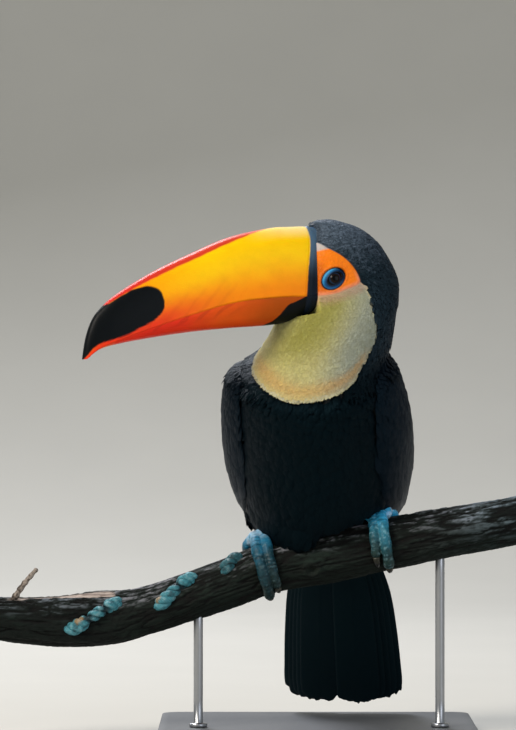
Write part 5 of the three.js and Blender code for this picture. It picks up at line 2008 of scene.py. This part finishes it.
@dataclass
class Plumage:
    """All the small feathers of head, bib, body, wings and thighs."""

    body: BodyForm
    wings: list[WingForm]
    thighs: list[ThighForm]
    clear_of_bill: float = 28.3

    def open_skin(self, u: Array, v: Array, points: Array) -> Array:
        """True where feathers may lie: off the bare face and behind the bill's root."""
        ahead, _, height = bill_coordinates(points)
        limit = self.clear_of_bill - 1.4 * smooth(378, 385, height)
        at_bill = (ahead > limit) & (u < 6.6)
        return (MARKINGS.face_edge(u, v) < -0.2) & ~at_bill

    def on_bib(self, u: Array, v: Array) -> Array:
        """True on the bib."""
        return MARKINGS.bib_edge(u, v) > 0

    def head_density(self, u: Array, v: Array, points: Array) -> Array:
        """Black feathers of the head and neck, closer together towards the bill."""
        near = np.linalg.norm(points - BILL_ROOT, axis=-1)
        where = self.open_skin(u, v, points) & ~self.on_bib(u, v)
        return where * (1 + 2.2 * smooth(70, 35, near))

    def bib_density(self, u: Array, v: Array, points: Array) -> Array:
        """Feathers of the bib."""
        near = np.linalg.norm(points - BILL_ROOT, axis=-1)
        where = self.open_skin(u, v, points) & self.on_bib(u, v)
        rim = smooth(9, 3, MARKINGS.bib_edge(u, v))
        return where * (1 + smooth(65, 35, near) + 1.5 * rim)

    def body_density(self, u: Array, v: Array, points: Array) -> Array:
        """Feathers of the breast, belly, back, rump and under the tail."""
        on_wing = self.body.wing_rise(u, v) > 1.2 + 1.5 * smooth(10.1, 9.8, u)
        return (~self.on_bib(u, v) & ~on_wing) * 1.0

    def coats(self) -> list[Coat]:
        """The coats in the order in which they are grown."""
        body, paint = self.body, MARKINGS.plumage
        fine = Vane(ragged=0.12, camber=0.05)
        broad = Vane((-1, -0.5, 0, 0.5, 1), (0, 0.25, 0.45, 0.65, 0.8, 0.92, 1), 0.035, 0.08)
        coats = [
            Coat("head_feathers", body, (0.15, 10.2), (-180, 180), self.head_density, head_heading,
                 paint, 9500, lambda u: 3.6 + 6.5 * smooth(3, 10, u), 2.3, body.depth,
                 body_unwrap, 3, Vane(ragged=0.3, camber=0.09), shade=0.4, root_shade=0.5),
            Coat("bib_feathers", body, (5, 10.9), (-130, 150), self.bib_density, head_heading,
                 paint, 12000,
                 lambda u: 6.5 + 1.5 * smooth(6, 8, u) - 1.5 * smooth(8.5, 10, u), 2.6,
                 lambda u: body.depth(u) * 0.6, body_unwrap, 5,
                 Vane(ragged=0.07, camber=0.02), sway=4, shade=0.035, root_shade=0.97, sink=0.1),
            Coat("body_feathers", body, (9.6, 17.2), (-180, 180), self.body_density, down_heading,
                 paint, 4100, lambda u: 8 + 9 * smooth(9.6, 12.5, u) - 5 * smooth(15, 16.5, u), 2.1,
                 lambda u: body.depth(u) * 0.9, body_unwrap, 7, broad, sway=6),
        ]
        for k, wing in enumerate(self.wings):
            coats.append(Coat(
                f"wing_coverts_{wing.side.word}", wing, (0.02, 0.72), (-0.94, 0.94),
                lambda u, v, points: 1 + 2.5 * smooth(0.25, 0.05, u), down_heading,
                lambda u, v: even(u[..., None], MARKINGS.wing), 1400,
                lambda u: 6.5 + 24 * smooth(0.05, 0.6, u), 2.1,
                lambda u: 1.9 + 1.3 * smooth(0.1, 0.4, u),
                lambda u, v, form=wing: body_unwrap(*form.body_spot(u, v)), 11 + k, broad, sway=4))
        for k, thigh in enumerate(self.thighs):
            patch = thigh.patch
            coats.append(Coat(
                f"thigh_feathers_{thigh.leg.side.word}", thigh, (0.1, 0.93), (0, 360),
                lambda u, v, points: 1 + 0 * u, down_heading,
                lambda u, v: even(u[..., None], MARKINGS.black), 420,
                lambda u: 9 + 0 * u, 2.6, lambda u: 1.7 + 0 * u,
                lambda u, v, p=patch: np.stack([p[0] + (p[2] - p[0]) * np.mod(v / 360, 1),
                                                p[1] + (p[3] - p[1]) * u], -1), 17 + k, fine))
        return coats

    def make(self) -> None:
        """Grow every coat."""
        for coat in self.coats():
            is_bib = coat.name.startswith("bib")
            make_piece(coat.name, coat.build(), BIB_FINISH if is_bib else PLUMAGE_FINISH)


def long_feather(rows: Arrays, half_width: Array, place: Callable,
                 columns: int, shaft: float, thickness: float, colour: Array) -> Shell:
    """A long, stiff feather as a thin closed shell.

    Args:
        rows: Share of the length, how far each row is drawn to the tip, and lift of its middle.
        half_width: Half width in each row, in millimetres.
        place: Gives points for a share of length, an offset across and a lift, all in arrays.
        columns: Points across each face of the vane.
        shaft: Where the shaft lies across the vane, from -1 to 1.
        thickness: Thickness of the vane by its shaft.
        colour: Its linear colour.

    Returns:
        The shell with how far across and along each point lies.
    """
    share, length, lift = rows
    a = np.linspace(-1, 1, columns)
    across = np.concatenate([a, a[::-1]])
    is_top = np.concatenate([np.ones(columns), np.zeros(columns)])
    vane = 0.12 + 0.5 * thickness * (1 - across**2)
    quill = 0.35 * bell(across, shaft, 0.06) * np.clip(1.05 - share, 0, 1)[:, None]
    rise = np.where(is_top > 0, vane + quill, -vane - quill)
    x = half_width[:, None] * across
    s = share[:, None] + 0 * across
    points = place(s, x, lift[:, None] + rise)
    values = {"across": x - shaft * half_width[:, None], "along": length[:, None] + 0 * across}
    grid = np.concatenate([points[:1].mean(axis=1, keepdims=True) + 0 * points[:1], points,
                           points[-1:].mean(axis=1, keepdims=True) + 0 * points[-1:]])
    padded = {k: np.concatenate([z[:1], z, z[-1:]]) for k, z in values.items()}
    return closed_shell(grid, np.zeros(grid.shape) + colour, padded)


def tip_shape(share: Array, start: float, point: float) -> Array:
    """Width factor of a long feather: full, then rounded off from a share on to a blunt tip."""
    t = np.clip((share - start) / (1 - start), 0, 1)
    return (1 - point) * np.sqrt(np.maximum(1 - t * t, 0)) + point


@dataclass
class FlightFeathers:
    """The long feathers of one folded wing, stacked like a closed fan."""

    form: WingForm
    count: int = 15
    rows: int = 70
    columns: int = 15

    def build(self) -> Shell:
        """Lay each feather along its own line of the wing, the hind ones shorter and on top."""
        shells = []
        for k in range(self.count):
            q = k / (self.count - 1)
            start, end = 0.30 + 0.12 * q, 1.0 - 0.34 * q**1.4
            middle = -0.55 + 1.25 * q
            share = 1 - (1 - np.linspace(0, 1, self.rows)) ** 1.3
            u = between((start, end), share)
            half = (11.5 + 4 * q) * (0.6 + 0.4 * smooth(0, 0.3, share))
            half = half * tip_shape(share, 0.72, 0.12)

            def place(s: Array, x: Array, lift: Array, span: tuple = (start, end),
                      line: float = middle) -> Array:
                """Points over the wing's skin; the line of the feather bends to the tip."""
                at = between(span, s)
                _, around, normal = self.form.slopes(at, line + 0 * at)
                size = np.maximum(np.linalg.norm(around, axis=-1), 14)
                centre = line * (1 - 0.5 * at**3)
                v = np.clip(centre + x * self.form.side.value / size, -1, 1)
                return self.form.place(at, v) + normal * lift[..., None]

            lift = 0.6 + 3.6 * (0.35 + 0.65 * q) * smooth(0, 0.25, share) \
                * (1 - 0.6 * smooth(0.75, 1, u))
            length = share * (end - start) * 190
            tone = linear(MARKINGS.wing) * (1 + 0.1 * math.sin(k * 2.4))
            shells.append(long_feather((share, length, lift), half, place, self.columns, -0.25,
                                       0.4, tone))
        return joined(shells)

    def make(self) -> None:
        """Build the wing's long feathers."""
        make_piece(f"flight_feathers_{self.form.side.word}", self.build(), PLUMAGE_FINISH)


@dataclass
class Tail:
    """Ten long tail feathers in a closed fan, the middle pair nearest the front."""

    base: Triple = (13.5, 76, 160)
    tip: Triple = (21.8, 141, 18.5)
    bow: float = 5
    pairs: int = 5
    rows: int = 90
    columns: int = 21
    sections: Array = field(default_factory=lambda: np.array([
        [0, 20, 4.5], [0.2, 32, 4.2], [0.38, 40, 3.8], [0.6, 44, 3.3], [0.8, 46, 2.8],
        [0.92, 46.4, 2.4], [0.975, 43, 2], [1, 32, 1]]))

    def build(self) -> Shell:
        """Lay each feather at its own place across the fan and its own depth in the stack."""
        base, tip = np.array(self.base, float), np.array(self.tip, float)
        down = unit(tip - base)
        left = level_vector(np.array(-81.0))
        front = unit(np.cross(down, left))
        full = np.linalg.norm(tip - base)
        shells = []
        for pair, side in product(range(self.pairs), (1, -1)):
            out = pair / (self.pairs - 1)
            middle = side * (0.31 + 0.36 * out) - 0.04 * (1 - out)
            length = 0.985 - 0.012 * out + 0.006 * math.sin(pair * 3 + side)
            share = 1 - (1 - np.linspace(0, 1, self.rows)) ** 1.4
            s = share * length
            row = row_at(self.sections, np.minimum(s, 0.93))
            half = row[:, 1] * (0.33 + 0.03 * (1 - out)) * tip_shape(share, 0.955, 0.45)

            def place(at: Array, x: Array, lift: Array, span: float = length,
                      line: float = middle) -> Array:
                """Points of the fan; the tip's barbs part in a few places."""
                s = at * span
                row = row_at(self.sections, np.minimum(s, 0.93))
                c = np.clip(line + x / row[..., 1], -1.02, 1.02)
                fray = rough_noise(np.stack([x / 2.6, 0 * x + line * 9, 0 * x], -1), 111)
                s = s + 0.014 * fray * smooth(0.93, 1.0, at)
                point = base + (tip - base) * s[..., None] + left * (c * row[..., 1])[..., None]
                sag = self.bow * c * c * np.minimum(2 * s, 1)
                return point + front * (lift - sag)[..., None]

            stack = (1 - 2 * out) * row[:, 2] * 0.72 + side * 0.18
            tone = linear("#081417") * (1 + 0.12 * math.sin(pair * 2.1 + side))
            shells.append(long_feather((share, s * full, stack), half, place, self.columns,
                                       0.3 * side * out, 0.45, tone))
        return joined(shells)

    def make(self) -> None:
        """Build the tail."""
        make_piece("tail_feathers", self.build(), PLUMAGE_FINISH, "tail")


# ---- studio


@dataclass
class Studio:
    """Pale floor, soft lamps and the camera."""

    floor_reach: float = 5.0
    sweep_start: float = 1.6
    sweep_radius: float = 2.2
    camera_place: Triple = (-0.045, -3.0, 0.28275)
    frame_height: float = 0.5475
    sensor: float = 24.0
    world_strength: float = 0.4
    lamps: tuple[tuple, ...] = (
        ("key", (-1.7, -1.5, 1.9), (0, 0, 0.26), 1.2, 67, "#fff6ea"),
        ("fill", (1.7, -2.2, 1.0), (0, 0, 0.25), 1.6, 16, "#eef3ff"),
        ("rim", (-0.7, 1.5, 1.9), (-0.05, 0, 0.3), 0.8, 48, "#f6f8ff"),
    )

    def lamp(self, name: str, place: tuple, target: tuple, size: float, power: float,
             colour: str) -> None:
        """Add one soft square lamp that faces a point."""
        data = bpy.data.lights.new(name, "AREA")
        data.size, data.energy, data.color = size, power, linear(colour)
        lamp = in_scene(name, data)
        lamp.rotation_euler = (Vector(place) - Vector(target)).to_track_quat("Z", "Y").to_euler()
        lamp.location = place

    def make(self) -> None:
        """Build the floor, lamps, world and camera."""
        scene = bpy.context.scene
        reach, bend = self.floor_reach, self.sweep_radius
        turn = np.linspace(0, math.pi / 2, 24)
        y = np.concatenate([[-reach], self.sweep_start + bend * np.sin(turn), [0]])
        z = np.concatenate([[0], bend * (1 - np.cos(turn)), [reach]])
        y[-1] = y[-2]
        x = np.array([-reach, reach])
        points = np.stack([x + 0 * y[:, None], y[:, None] + 0 * x, z[:, None] + 0 * x], -1)
        ids = np.arange(points[..., 0].size).reshape(-1, 2)
        faces = np.stack([ids[:-1, 0], ids[:-1, 1], ids[1:, 1], ids[1:, 0]], -1)
        mesh = bpy.data.meshes.new("floor")
        mesh.from_pydata(points.reshape(-1, 3).tolist(), [], faces.tolist())
        mesh.shade_smooth()
        mesh.materials.append(FLOOR_FINISH.material())
        in_scene("floor", mesh)
        for lamp in self.lamps:
            self.lamp(*lamp)
        world = bpy.data.worlds.new("studio_air")
        world.use_nodes = True
        air = world.node_tree.nodes["Background"]
        air.inputs["Color"].default_value = (*linear("#dfe6ea"), 1)
        air.inputs["Strength"].default_value = self.world_strength
        scene.world = world
        data = bpy.data.cameras.new("camera")
        data.sensor_fit, data.sensor_height = "VERTICAL", self.sensor
        data.lens = self.sensor * -self.camera_place[1] / self.frame_height
        data.dof.use_dof = False
        camera = in_scene("camera", data)
        camera.location = self.camera_place
        camera.rotation_euler = (math.pi / 2, 0, 0)
        scene.camera = camera
        scene.view_settings.view_transform = "Standard"


def main() -> None:
    """Build the toucan, its perch and stand, and light them."""
    logging.basicConfig(level=logging.INFO)
    body = BodyForm()
    wings = [WingForm(side, body) for side in Side]
    thighs = [ThighForm(leg) for leg in LEGS]
    parts = [Skin(body, thighs), BillHalf(True), BillHalf(False), *(Eye(place) for place in EYES),
             Plumage(body, wings, thighs), *(FlightFeathers(wing) for wing in wings), Tail(),
             *(Foot(leg) for leg in LEGS), Perch(), *ROPE_RUNS, Stand(), Studio()]
    for part in parts:
        LOG.info("building %s", type(part).__name__)
        part.make()


if __name__ == "__main__":
    main()
